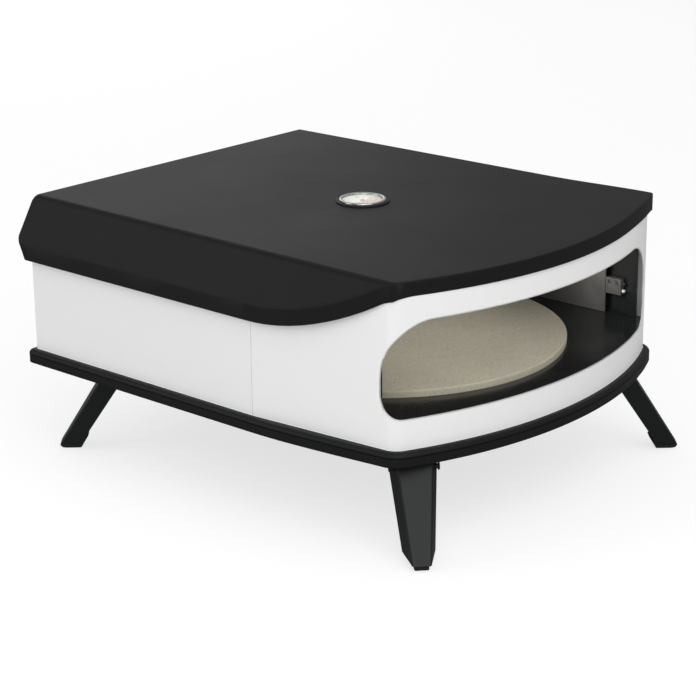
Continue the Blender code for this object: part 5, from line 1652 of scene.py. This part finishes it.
    def marks(self, shown: float) -> BMesh:
        """Draw the long and short marks of the scale.

        Args:
            shown: Radius of the part of the dial that shows.

        Returns:
            The flat marks.
        """
        marks = bmesh.new()
        count = 5 * (len(self.figures) - 1)
        for i in range(count + 1):
            length, width = (self.tick * 0.55, self.tick_fine) if i % 5 else (self.tick, self.tick_wide)
            turn = math.radians(90.0 + self.sweep / 2 - self.sweep * i / count)
            tick(marks, turn, shown * 0.95 - length / 2, length, width)
        return marks

    def needle(self, centre: Vector) -> None:
        """Build the tapered needle with its round hub and pin.

        Args:
            centre: The dial's centre.
        """
        low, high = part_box("thermometer_needle")
        dial_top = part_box("thermometer_dial")[1].z
        length = max(centre.x - low.x, high.x - centre.x) / math.sin(math.radians(45.0))
        tail = length * self.tail
        thin = (high.z - dial_top - FIT) / 2
        blade = bmesh.new()
        bmesh.ops.create_grid(blade, x_segments=1, y_segments=3, size=0.5)
        for corner in blade.verts:
            share = corner.co.y + 0.5
            width = self.needle_wide - (self.needle_wide - self.needle_point) * share
            corner.co = (corner.co.x * width, -tail + (length + tail) * share, 0.0)
        bmesh.ops.solidify(blade, geom=blade.faces[:], thickness=thin)
        blade = moved(blade, Matrix.Translation((0.0, 0.0, thin)))
        hub = turned([(0.0, 2 * thin), (self.hub, 2 * thin), (self.hub, 0.0), (self.pivot, 0.0),
                      (self.pivot, -self.pivot_length), (0.0, -self.pivot_length)],
                     {1: thin * 0.6}, steps=48, segments=3)
        needle = joined(settled(blade), hub)
        rest = math.atan2((low.y + high.y) / 2 - centre.y, (low.x + high.x) / 2 - centre.x) - QUARTER
        place = (Matrix.Translation((centre.x, centre.y, dial_top + FIT))
                 @ Matrix.Rotation(rest, 4, "Z"))
        self.bench.piece("thermometer_pointer", moved(needle, place), Look.NEEDLE, Body.NEEDLE,
                         replaces=("thermometer_needle",))


@dataclass
class Burner(SubAssembly):
    """The burner along the right wall, with its shield, igniter and flame probe.

    Attributes:
        edge: Rounding of the igniter bracket's edges.
        sleeve_past: How far a rod's sleeve reaches past the bracket.
        rib_from: How far from the sleeve's end they begin.
        pressed: Width of the rim round the bracket's pressed field.
    """

    edge: float = 0.0007
    sleeve_steps: int = 32
    tip: float = 0.0009
    sleeve_past: float = 0.0120
    ribs: int = 4
    rib_from: float = 0.0100
    rib_pitch: float = 0.0022
    rib: float = 0.0004
    pressed: float = 0.0022
    screw_out: float = 0.0004
    screw_down: float = 0.0045

    def build(self) -> None:
        """Dress the burner's plates and build the igniter."""
        self.bench.dress(Look.BURNER_STEEL, "burner_tube", "front_burner_stand", "rear_burner_stand")
        self.bench.dress(Look.DARK_STEEL, "flame_guard", "igniter_shield", "ceiling_plate")
        self.bench.dress(Look.WOOL, "lid_insulation")
        low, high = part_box("igniter_bracket")
        self.bench.piece("igniter_bracket_cover", self.bracket(low, high), Look.DARK_STEEL,
                         replaces=("igniter_bracket",))
        self.bench.piece("igniter_ceramic_rod", self.rod("igniter_electrode", True), Look.CERAMIC,
                         replaces=("igniter_electrode",))
        self.bench.piece("flame_probe_rod", self.rod("flame_probe", False), Look.STEEL,
                         replaces=("flame_probe",))
        screw = Screw(head=0.0026, rise=0.0014, socket=0.0010, depth=0.0008, shank=0.0012, length=0.002)
        heads = [screw.build(Vector((low.x - self.screw_out, low.y + share * (high.y - low.y),
                                     high.z - self.screw_down)), -ACROSS) for share in (0.25, 0.75)]
        self.bench.piece("igniter_bracket_screws", joined(*heads), Look.STEEL)

    def bracket(self, low: Vector, high: Vector) -> BMesh:
        """Build the bracket, whose inner face is pressed in.

        Args:
            low: Its lowest corner.
            high: Its highest corner.

        Returns:
            The bracket.
        """
        bm = block(low, high, self.edge)
        inner = [face for face in bm.faces if face.normal.x < -0.99 and face.calc_area() > 1e-5]
        press(bm, inner, [(self.pressed, 0.0), (0.0006, 0.0008)])
        return settled(bm)

    def rod(self, node: str, ribbed: bool) -> BMesh:
        """Build a rod that runs back to the burner.

        Args:
            node: The CAD node that it stands for.
            ribbed: Whether its sleeve has the ribs of a ceramic insulator.

        Returns:
            The rod.
        """
        low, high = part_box(node)
        radius = (high.x - low.x) / 2
        sleeve_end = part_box("igniter_bracket")[1].y + self.sleeve_past - low.y
        length = high.y - low.y
        profile = [(0.0, 0.0), (radius * 0.8, 0.0), (radius, 0.0004)]
        if ribbed:
            for i in range(self.ribs):
                at = sleeve_end - self.rib_from + i * self.rib_pitch
                profile += [(radius, at), (radius - self.rib, at + 0.0005),
                            (radius - self.rib, at + 0.0012), (radius, at + 0.0017)]
        profile += [(radius, sleeve_end), (self.tip, sleeve_end), (self.tip, length), (0.0, length)]
        start = Vector(((low.x + high.x) / 2, low.y, (low.z + high.z) / 2))
        return moved(turned(profile, steps=self.sleeve_steps), between(start, start + BACKWARD))


@dataclass
class GasControl(SubAssembly):
    """The gas control on the back: cover, knob with its scale, and the hose nipple.

    Attributes:
        round: Radius of the cover's edges.
        knob: Radius of the knob's grip.
        knob_end: Radius of its outer end.
        figures: The plain numbers on the scale.
        figure_in: How far they stand inside the ring's edge.
        sweep: Angle that the scale covers, in degrees.
        nut: Half the width over the nipple's hexagon.
        nut_share: The nut's share of the nipple's height.
    """

    round: float = 0.0040
    sheet: float = 0.0012
    knob: float = 0.0190
    knob_end: float = 0.0169
    skirt: float = 0.0215
    skirt_height: float = 0.0040
    grips: int = 12
    grip_depth: float = 0.0014
    bore: float = 0.0034
    bore_depth: float = 0.0100
    figures: tuple[str, ...] = ("0", "1", "2", "3", "4", "5")
    figure_size: float = 0.0026
    figure_in: float = 0.0011
    sweep: float = 210.0
    tick: float = 0.0014
    tick_short: float = 0.0008
    tick_wide: float = 0.0005
    tick_gap: float = 0.0003
    screw_in: float = 0.0085
    screw_out: float = 0.0014
    nut: float = 0.0060
    nut_share: float = 0.40
    barb: float = 0.0058
    barbs: int = 3
    barb_pitch: float = 0.0062
    hose_bore: float = 0.0028

    def build(self) -> None:
        """Build the control's pieces and dress the valve behind them."""
        low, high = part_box("knob_scale")
        axis = Vector(((low.x + high.x) / 2, 0.0, (low.z + high.z) / 2))
        self.bench.piece("control_cover_shell", self.cover(), Look.COVER, replaces=("control_cover",),
                         sheet=self.sheet)
        self.cover_screws()
        self.scale(axis, low.y, high.y, (high.x - low.x) / 2)
        self.grip(axis)
        self.nipple()
        self.bench.dress(Look.BRASS, "gas_valve", "gas_injector", "valve_shaft")

    def cover(self) -> BMesh:
        """Build the open box of the cover.

        Returns:
            The open shell.
        """
        bm = box(*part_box("control_cover"))
        drop_faces(bm, [face for face in bm.faces if face.normal.y < -0.9])
        rounded(bm, [edge for edge in bm.edges if not edge.is_boundary], self.round, 6)
        return settled(bm)

    def cover_screws(self) -> None:
        """Build the screws at the corners of the cover's face."""
        low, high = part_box("control_cover")
        screw = Screw(head=0.0030, rise=0.0016, socket=0.0011, depth=0.0009, shank=0.0015, length=0.004)
        heads = [screw.build(Vector((x, high.y + self.screw_out, z)), BACKWARD)
                 for z in (high.z - self.screw_in, low.z + self.screw_in)
                 for x in (low.x + self.screw_in, high.x - self.screw_in)]
        self.bench.piece("control_cover_screws", joined(*heads), Look.STEEL)

    def scale(self, axis: Vector, near: float, far: float, radius: float) -> None:
        """Build the scale ring with its printed marks and plain numbers.

        Args:
            axis: The knob's axis.
            near: Where the ring starts.
            far: Where it ends.
            radius: Its radius.
        """
        facing = between(Vector((axis.x, far, axis.z)), Vector((axis.x, far + 1.0, axis.z)))
        thick = far - near
        ring = turned([(self.bore, 0.0), (radius, 0.0), (radius, -thick), (self.bore, -thick),
                       (self.bore, 0.0)], {1: 0.0005}, steps=96, segments=3)
        self.bench.piece("knob_scale_ring", moved(ring, facing), Look.STEEL, replaces=("knob_scale",))
        up = facing.to_3x3().inverted() @ UP
        start = math.atan2(up.y, up.x)
        level = Matrix.Rotation(start - QUARTER, 4, "Z")
        out = radius - self.figure_in
        count = 5 * (len(self.figures) - 1)
        marks = bmesh.new()
        numbers = []
        for i in range(count + 1):
            turn = start - math.radians(self.sweep) * i / count
            length = self.tick_short if i % 5 else self.tick
            tick(marks, turn, self.skirt + self.tick_gap + length / 2, length, self.tick_wide)
            if i % 5 == 0:
                spot = Matrix.Translation((math.cos(turn) * out, math.sin(turn) * out, 0.0))
                numbers.append(moved(figure(self.figures[i // 5], self.figure_size), spot @ level))
        rise = Matrix.Translation((0.0, 2 * INK, 0.0))
        ink = printed(joined(marks, *numbers))
        self.bench.piece("knob_scale_marks", moved(ink, rise @ facing), Look.DARK_INK)

    def grip(self, axis: Vector) -> None:
        """Build the knob with its skirt, grips, bore and white pointer line.

        Args:
            axis: The knob's axis.
        """
        low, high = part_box("control_knob")
        length = high.y - low.y
        bm = turned([(0.0, self.bore_depth), (self.bore, self.bore_depth), (self.bore, 0.0),
                     (self.skirt, 0.0), (self.skirt, self.skirt_height),
                     (self.knob, self.skirt_height + 0.0006), (self.knob_end, length),
                     (0.0, length)], {4: 0.0008, 6: 0.0016}, steps=192)
        for ring in range(1, 5):
            height = self.skirt_height * 1.5 + (length - 0.0022 - self.skirt_height * 1.5) * ring / 5
            cut(bm, (0.0, 0.0, height), UP)
        start = self.skirt_height * 1.2
        for corner in bm.verts:
            flat = corner.co.to_2d()
            if corner.co.z > start and flat.length > self.bore * 2:
                turn = math.atan2(flat.y, flat.x) * self.grips
                share = max(0.0, (math.cos(turn) - 0.25) / 0.75) ** 0.7
                depth = self.grip_depth * share * BodyPlan.ease((corner.co.z - start) / 0.0025)
                corner.co.x *= 1 - depth / flat.length
                corner.co.y *= 1 - depth / flat.length
        facing = between(Vector((axis.x, low.y, axis.z)), Vector((axis.x, high.y, axis.z)))
        self.bench.piece("control_knob_grip", moved(settled(bm), facing), Look.KNOB, Body.KNOB,
                         replaces=("control_knob",))
        line = block(Vector((-0.0007, -0.0004, 0.0030)), Vector((0.0007, 0.0, 0.0140)), 0.0002, 2)
        spot = Matrix.Translation((axis.x, high.y, axis.z))
        self.bench.piece("control_knob_pointer", moved(line, spot), Look.PALE_INK, Body.KNOB)

    def nipple(self) -> None:
        """Build the barbed hose nipple under its hexagon nut."""
        low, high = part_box("gas_inlet")
        centre = (low + high) / 2
        nut_low = high.z - (high.z - low.z) * self.nut_share
        neck = self.barb - 0.0010
        profile = [(0.0, high.z), (self.nut, high.z), (self.nut, nut_low), (neck, nut_low - 0.0010)]
        for i in range(self.barbs):
            top = nut_low - 0.0030 - i * self.barb_pitch
            profile += [(neck, top), (self.barb, top - 0.0003), (neck - 0.0004 * i / 2, top - 0.0048)]
        profile += [(neck - 0.0009, low.z), (self.hose_bore, low.z), (self.hose_bore, low.z + 0.012),
                    (0.0, low.z + 0.012)]
        bm = turned(profile, {1: 0.0006, 2: 0.0006}, steps=48, segments=3)
        for corner in bm.verts:
            flat = corner.co.to_2d()
            if corner.co.z > nut_low - MERGE and flat.length > self.nut - 0.0007:
                shrink = math.cos(math.pi / 6) / math.cos(hexagon_angle(flat))
                corner.co.x *= shrink
                corner.co.y *= shrink
        place = Matrix.Translation((centre.x, centre.y, 0.0))
        self.bench.piece("hose_nipple", moved(bm, place), Look.BRASS, replaces=("gas_inlet",),
                         sharp=math.radians(25.0))


@dataclass
class Leg(SubAssembly):
    """One folding leg: a pressed channel on a pin, with a rubber foot plugged into its end.

    In the leg's own frame +X points outwards, Y is the pin and the origin is the pin's middle.

    Attributes:
        turn: How far it is turned round Z.
        lean: How far it leans outwards.
        top_width: Width of its web at the pin.
        end_width: Width of its web at the ground.
        depth: Depth of its flanges at the pin.
        end_depth: Their depth at the ground.
        fold: Outer radius of its folds.
        splay: How far its flanges spread apart over their depth.
        chamfer: Width of the cut at its heel.
        foot_shoulder: Height of the foot's heel as a share of the foot's.
    """

    name: str
    body: Body
    turn: float
    lean: float = math.radians(32.2)
    top_width: float = 0.0419
    end_width: float = 0.0195
    depth: float = 0.0220
    end_depth: float = 0.0195
    splay: float = 0.0069
    sheet: float = 0.0015
    fold: float = 0.0026
    pin: float = 0.0030
    pin_head: float = 0.0045
    pin_cap: float = 0.0018
    top_round: float = 0.0104
    chamfer: float = 0.0080
    foot_height: float = 0.0200
    foot_heel: float = 0.0160
    foot_flat: float = 0.0027
    foot_toe: float = 0.0075
    foot_toe_rise: float = 0.0010
    foot_sole: float = 0.0045
    foot_round: float = 0.0012
    foot_bulge: float = 0.0030
    foot_shoulder: float = 0.8

    def build(self) -> None:
        """Build the channel, the foot and the pin, and dress the bracket."""
        low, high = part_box(f"{self.name}_pin")
        hinge = (low + high) / 2
        stand = Matrix.Translation(hinge) @ Matrix.Rotation(self.turn, 4, "Z")
        swing = stand @ Matrix.Rotation(-self.lean, 4, "Y")
        self.bench.piece(f"{self.name}_channel", moved(self.channel(hinge.z), swing), Look.LEG, self.body,
                         replaces=(self.name,), sheet=self.sheet, rounding=0.0004)
        self.bench.piece(f"{self.name}_rubber_foot", moved(self.foot(hinge.z), stand), Look.FOOT, self.body,
                         replaces=(f"{self.name}_foot",))
        self.bench.piece(f"{self.name}_hinge_pin", moved(self.hinge_pin(), stand), Look.COVER,
                         replaces=(f"{self.name}_pin",))
        self.bench.dress(Look.COVER, f"{self.name}_bracket")

    def channel(self, height: float) -> BMesh:
        """Cut the channel's blank flat, fold it, and trim its ends.

        Args:
            height: Height of the pin above the ground.

        Returns:
            The open sheet in the leg's own frame.
        """
        half = self.depth / 2
        low = -height / math.cos(self.lean) - self.depth * math.tan(self.lean)
        bm = bmesh.new()
        edge = self.top_width / 2
        for side in (-1.0, 1.0):
            punch(bm, side * (edge + half), 0.0, self.pin + FIT, 24)
        lay_sheet(bm, bm.edges[:], -edge - self.depth, edge + self.depth, low, self.top_round)
        arc = self.fold * QUARTER
        for side in (-1.0, 1.0):
            for i in range(7):
                cut(bm, (side * (edge - self.fold + arc * i / 6), 0.0, 0.0), ACROSS)
            for i in range(1, 6):
                cut(bm, (side * (edge + arc + (self.depth - arc) * i / 6), 0.0, 0.0), ACROSS)
        for corner in bm.verts:
            corner.co = self.folded(corner.co.x, corner.co.z, low, half, arc)
        for angle in range(-28, 87, 12):
            turn = math.radians(angle)
            normal = Vector((-math.sin(turn), 0.0, math.cos(turn)))
            cut(bm, normal * self.top_round, normal, clear=True)
        ground = Vector((math.sin(self.lean), 0.0, math.cos(self.lean)))
        level = ground * (self.foot_sole + FIT + self.sheet * ground.x - height)
        cut(bm, level, -ground, clear=True)
        heel = half - self.end_depth
        corner = Vector((heel, 0.0, (level.dot(ground) - heel * ground.x) / ground.z))
        cut(bm, corner + Vector((self.chamfer, 0.0, 0.0)), (-1.0, 0.0, -1.0), clear=True)
        bmesh.ops.recalc_face_normals(welded(bm), faces=bm.faces)
        web = max(bm.faces, key=lambda face: abs(face.normal.x) * face.calc_area())
        if web.normal.x < 0:
            bmesh.ops.reverse_faces(bm, faces=bm.faces)
        return bm

    def folded(self, across: float, along: float, low: float, half: float, arc: float) -> Vector:
        """Fold one point of the flat blank.

        Args:
            across: Its place across the blank.
            along: Its place along the leg.
            low: Where the blank starts along the leg.
            half: Half the channel's depth.
            arc: Length of the folded strip.

        Returns:
            Its place in the folded channel.
        """
        side = -1.0 if across < 0 else 1.0
        edge = self.top_width / 2
        share = (along - low) / (self.top_round - low)
        width = (self.end_width + (self.top_width - self.end_width) * share) / 2
        start = edge - self.fold
        flat = abs(across)
        if flat <= start:
            return Vector((half, side * flat / start * (width - self.fold), along))
        if flat < start + arc:
            turn = (flat - start) / self.fold
            return Vector((half - self.fold * (1 - math.cos(turn)),
                           side * (width - self.fold + self.fold * math.sin(turn)), along))
        depth = self.depth if along >= 0 else self.depth + (self.end_depth - self.depth) * along / low
        sunk = self.fold + (flat - start - arc) / (self.depth + edge - start - arc) * (
            self.depth - self.fold)
        sunk = sunk * depth / self.depth if along < -half else sunk
        return Vector((half - sunk, side * (width + self.splay * (sunk - self.fold) / self.depth), along))

    def foot(self, height: float) -> BMesh:
        """Build the rubber foot in the bracket's frame, which isn't leant over.

        Args:
            height: Height of the pin above the ground.

        Returns:
            The foot.
        """
        half = self.depth / 2
        slope = math.tan(self.lean)
        across = 1 / math.cos(self.lean)
        axis = height * slope
        face = axis + (half - self.sheet - FIT) * across
        toe = axis + half * across
        inner = axis - (self.end_depth - half) * across
        outline = [
            (axis - self.foot_heel, 0.0), (axis + self.foot_flat, 0.0),
            (axis + self.foot_toe, self.foot_toe_rise),
            (toe - self.foot_sole * slope, self.foot_sole), (face - self.foot_sole * slope, self.foot_sole),
            (face - self.foot_height * slope, self.foot_height),
            (inner - self.foot_height * slope - self.foot_bulge,
             self.foot_height * self.foot_shoulder)]
        half_width = self.end_width / 2 - self.sheet - FIT
        bm = bmesh.new()
        flat_face(bm, outline, 0.0)
        made = bmesh.ops.extrude_face_region(bm, geom=bm.faces[:])["geom"]
        bmesh.ops.translate(bm, vec=(0.0, 0.0, 2 * half_width),
                            verts=[item for item in made if isinstance(item, BMVert)])
        bmesh.ops.recalc_face_normals(bm, faces=bm.faces)
        rounded(bm, bm.edges[:] + bm.verts[:], self.foot_round, 4)
        return moved(bm, Matrix.Translation((0.0, half_width, -height)) @ UPRIGHT)

    def hinge_pin(self) -> BMesh:
        """Build the pin with its two domed heads.

        Returns:
            The pin, lying along Y.
        """
        outer = self.top_width / 2 + self.splay * (self.depth / 2 + self.pin_head) / self.depth + FIT
        cap = self.pin_cap
        bm = turned([(0.0, -outer - cap), (self.pin_head, -outer - cap), (self.pin_head, -outer),
                     (self.pin, -outer), (self.pin, outer), (self.pin_head, outer),
                     (self.pin_head, outer + cap), (0.0, outer + cap)],
                    {1: cap * 0.7, 6: cap * 0.7}, steps=48)
        return moved(bm, Matrix.Rotation(-QUARTER, 4, "X"))


@dataclass(frozen=True)
class Lamp:
    """A square soft lamp.

    Attributes:
        power: Its power in watts.
        aim: The place that it looks at.
        spread: How wide it shines, in degrees.
        glossy: Whether a coat mirrors it.
    """

    name: str
    place: tuple[float, float, float]
    size: float
    power: float
    aim: tuple[float, float, float] = (0.0, 0.0, 0.2)
    spread: float = 180.0
    glossy: bool = True

    def hang(self) -> None:
        """Hang the lamp in the scene."""
        light = bpy.data.lights.new(self.name, "AREA")
        light.size = self.size
        light.energy = self.power
        light.spread = math.radians(self.spread)
        lamp = bpy.data.objects.new(self.name, light)
        lamp.visible_camera = False
        lamp.visible_glossy = self.glossy
        turn = (Vector(self.aim) - Vector(self.place)).to_track_quat("-Z", "Y")
        lamp.matrix_world = Matrix.Translation(self.place) @ turn.to_matrix().to_4x4()
        bpy.context.scene.collection.objects.link(lamp)


@dataclass
class Studio:
    """A plain pale floor, soft light and the photograph's camera.

    Attributes:
        azimuth: The way it looks, round Z from +Y, in degrees.
        pitch: How far it looks down.
        roll: How far it is turned round its own axis.
        focal_pixels: Its focal length in the photograph's pixels.
        floor_diffuse: How much of the light on the floor the camera sees.
        floor_glow: The white that is added to it.
        floor_tone: The floor's colour where light bounces off it.
        floor_in_gloss: Its colour where a coat mirrors it.
        sky: Strength of the world's light on the object.
        sky_in_gloss: Its strength where a coat mirrors it.
    """

    camera_place: tuple[float, float, float] = (-1.85420, -1.66253, 0.95671)
    azimuth: float = -48.28
    pitch: float = 18.62
    roll: float = -0.60
    focal_pixels: float = 2156.82
    sensor_mm: float = 36.0
    floor_half: float = 6.0
    floor_diffuse: float = 0.34
    floor_glow: float = 0.70
    floor_tone: str = "#e6e6e6"
    floor_in_gloss: str = "#8c8c8c"
    sky: float = 0.65
    sky_in_gloss: float = 0.34
    lamps: tuple[Lamp, ...] = (
        Lamp("key_softbox", (-0.9, -1.9, 2.0), 2.2, 25.0),
        Lamp("front_softbox", (-1.4, -0.9, 0.8), 0.9, 3.6),
        Lamp("side_softbox", (-1.9, 1.3, 0.95), 1.5, 8.5),
        Lamp("back_softbox", (1.5, 2.7, 1.25), 2.4, 10.0),
        Lamp("mouth_light", (-0.03, -0.13, 0.278), 0.30, 0.21, aim=(-0.03, -0.13, 0.16), glossy=False),
        Lamp("burner_light", (0.10, -0.20, 0.252), 0.05, 0.045, aim=(0.236, -0.262, 0.205),
             spread=75.0, glossy=False))

    def build(self) -> None:
        """Build the camera, the floor, the world and the lamps."""
        bpy.context.scene.view_settings.view_transform = "Standard"
        self.camera()
        self.floor()
        self.world()
        for lamp in self.lamps:
            lamp.hang()

    def camera(self) -> None:
        """Stand the camera where the photograph was taken."""
        azimuth, pitch, roll = (math.radians(a) for a in (self.azimuth, self.pitch, self.roll))
        ahead = Vector((-math.sin(azimuth) * math.cos(pitch), math.cos(azimuth) * math.cos(pitch),
                        -math.sin(pitch)))
        right = ahead.cross(UP).normalized()
        up = right.cross(ahead)
        level_right = right * math.cos(roll) + up * math.sin(roll)
        level_up = up * math.cos(roll) - right * math.sin(roll)
        turn = Matrix((level_right, level_up, -ahead)).transposed().to_4x4()
        lens = bpy.data.cameras.new("photo_camera")
        lens.sensor_fit = "HORIZONTAL"
        lens.sensor_width = self.sensor_mm
        lens.lens = self.focal_pixels * self.sensor_mm / PHOTO_PIXELS
        lens.clip_end = 100.0
        camera = bpy.data.objects.new("photo_camera", lens)
        camera.matrix_world = Matrix.Translation(self.camera_place) @ turn
        bpy.context.scene.collection.objects.link(camera)
        bpy.context.scene.camera = camera

    def floor(self) -> None:
        """Lay the floor, which looks white and keeps the oven's soft shadow."""
        bm = bmesh.new()
        bmesh.ops.create_grid(bm, x_segments=8, y_segments=8, size=self.floor_half)
        mesh = bpy.data.meshes.new("studio_floor")
        bm.to_mesh(mesh)
        bm.free()
        material = bpy.data.materials.new("matt_white_studio_floor")
        material.use_nodes = True
        tree = material.node_tree
        tree.nodes.clear()
        seen = self.seen(tree)
        gloss = add_node(tree, "ShaderNodeLightPath").outputs["Is Glossy Ray"]
        tone = add_node(tree, "ShaderNodeMix", {"data_type": "RGBA"}, {
            0: gloss, 6: linear(self.floor_tone), 7: linear(self.floor_in_gloss)})
        plain = add_node(tree, "ShaderNodeBsdfDiffuse", {}, {"Color": tone.outputs[2]})
        shaded = add_node(tree, "ShaderNodeBsdfDiffuse", {}, {
            "Color": (self.floor_diffuse, self.floor_diffuse, self.floor_diffuse, 1.0)})
        glow = add_node(tree, "ShaderNodeEmission", {}, {"Strength": self.floor_glow})
        white = add_node(tree, "ShaderNodeAddShader", {}, {0: shaded.outputs[0], 1: glow.outputs[0]})
        either = add_node(tree, "ShaderNodeMixShader", {}, {
            0: seen, 1: plain.outputs[0], 2: white.outputs[0]})
        add_node(tree, "ShaderNodeOutputMaterial", {}, {"Surface": either.outputs[0]})
        mesh.materials.append(material)
        floor = bpy.data.objects.new("studio_floor", mesh)
        bpy.context.scene.collection.objects.link(floor)

    @staticmethod
    def seen(tree: NodeTree) -> NodeSocket:
        """Tell rays from the camera, or through glass, from others.

        Args:
            tree: The nodes to add to.

        Returns:
            1 for such rays and 0 for others.
        """
        ray = add_node(tree, "ShaderNodeLightPath")
        return add_node(tree, "ShaderNodeMath", {"operation": "MAXIMUM"}, {
            0: ray.outputs["Is Camera Ray"], 1: ray.outputs["Is Transmission Ray"]}).outputs[0]

    def world(self) -> None:
        """Light the oven from all round, and show a white background."""
        world = bpy.data.worlds.new("white_studio")
        world.use_nodes = True
        tree = world.node_tree
        tree.nodes.clear()
        gloss = add_node(tree, "ShaderNodeLightPath").outputs["Is Glossy Ray"]
        unseen = add_node(tree, "ShaderNodeMapRange", {}, {
            "Value": gloss, "To Min": self.sky, "To Max": self.sky_in_gloss})
        strength = add_node(tree, "ShaderNodeMapRange", {}, {
            "Value": self.seen(tree), "To Min": unseen.outputs["Result"], "To Max": 1.0})
        back = add_node(tree, "ShaderNodeBackground", {}, {
            "Color": (1.0, 1.0, 1.0, 1.0), "Strength": strength.outputs["Result"]})
        add_node(tree, "ShaderNodeOutputWorld", {}, {"Surface": back.outputs[0]})
        bpy.context.scene.world = world


def plain(box: tuple[Vector, Vector]) -> list[list[float]]:
    """Turn a box into plain lists."""
    return [[float(value) for value in corner] for corner in box]


def main() -> None:
    """Build the studio and every sub-assembly in order."""
    logging.basicConfig(level=logging.INFO, format="%(name)s %(message)s")
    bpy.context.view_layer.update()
    Studio().build()
    bench = Bench()
    plan = BodyPlan()
    turn = math.radians(47.2)
    assemblies = [
        BodyShell(bench, plan), Lid(bench, plan), Base(bench, plan), Turntable(bench),
        Thermometer(bench), Burner(bench), GasControl(bench),
        Leg(bench, "front_left_leg", Body.FRONT_LEFT, math.pi + turn),
        Leg(bench, "front_right_leg", Body.FRONT_RIGHT, -turn),
        Leg(bench, "rear_left_leg", Body.REAR_LEFT, math.pi - turn),
        Leg(bench, "rear_right_leg", Body.REAR_RIGHT, turn),
    ]
    for assembly in assemblies:
        assembly.build()
        LOG.info("%s is done", type(assembly).__name__)
    LOG.info("%d pieces", bench.pieces)


if __name__ == "__main__":
    main()
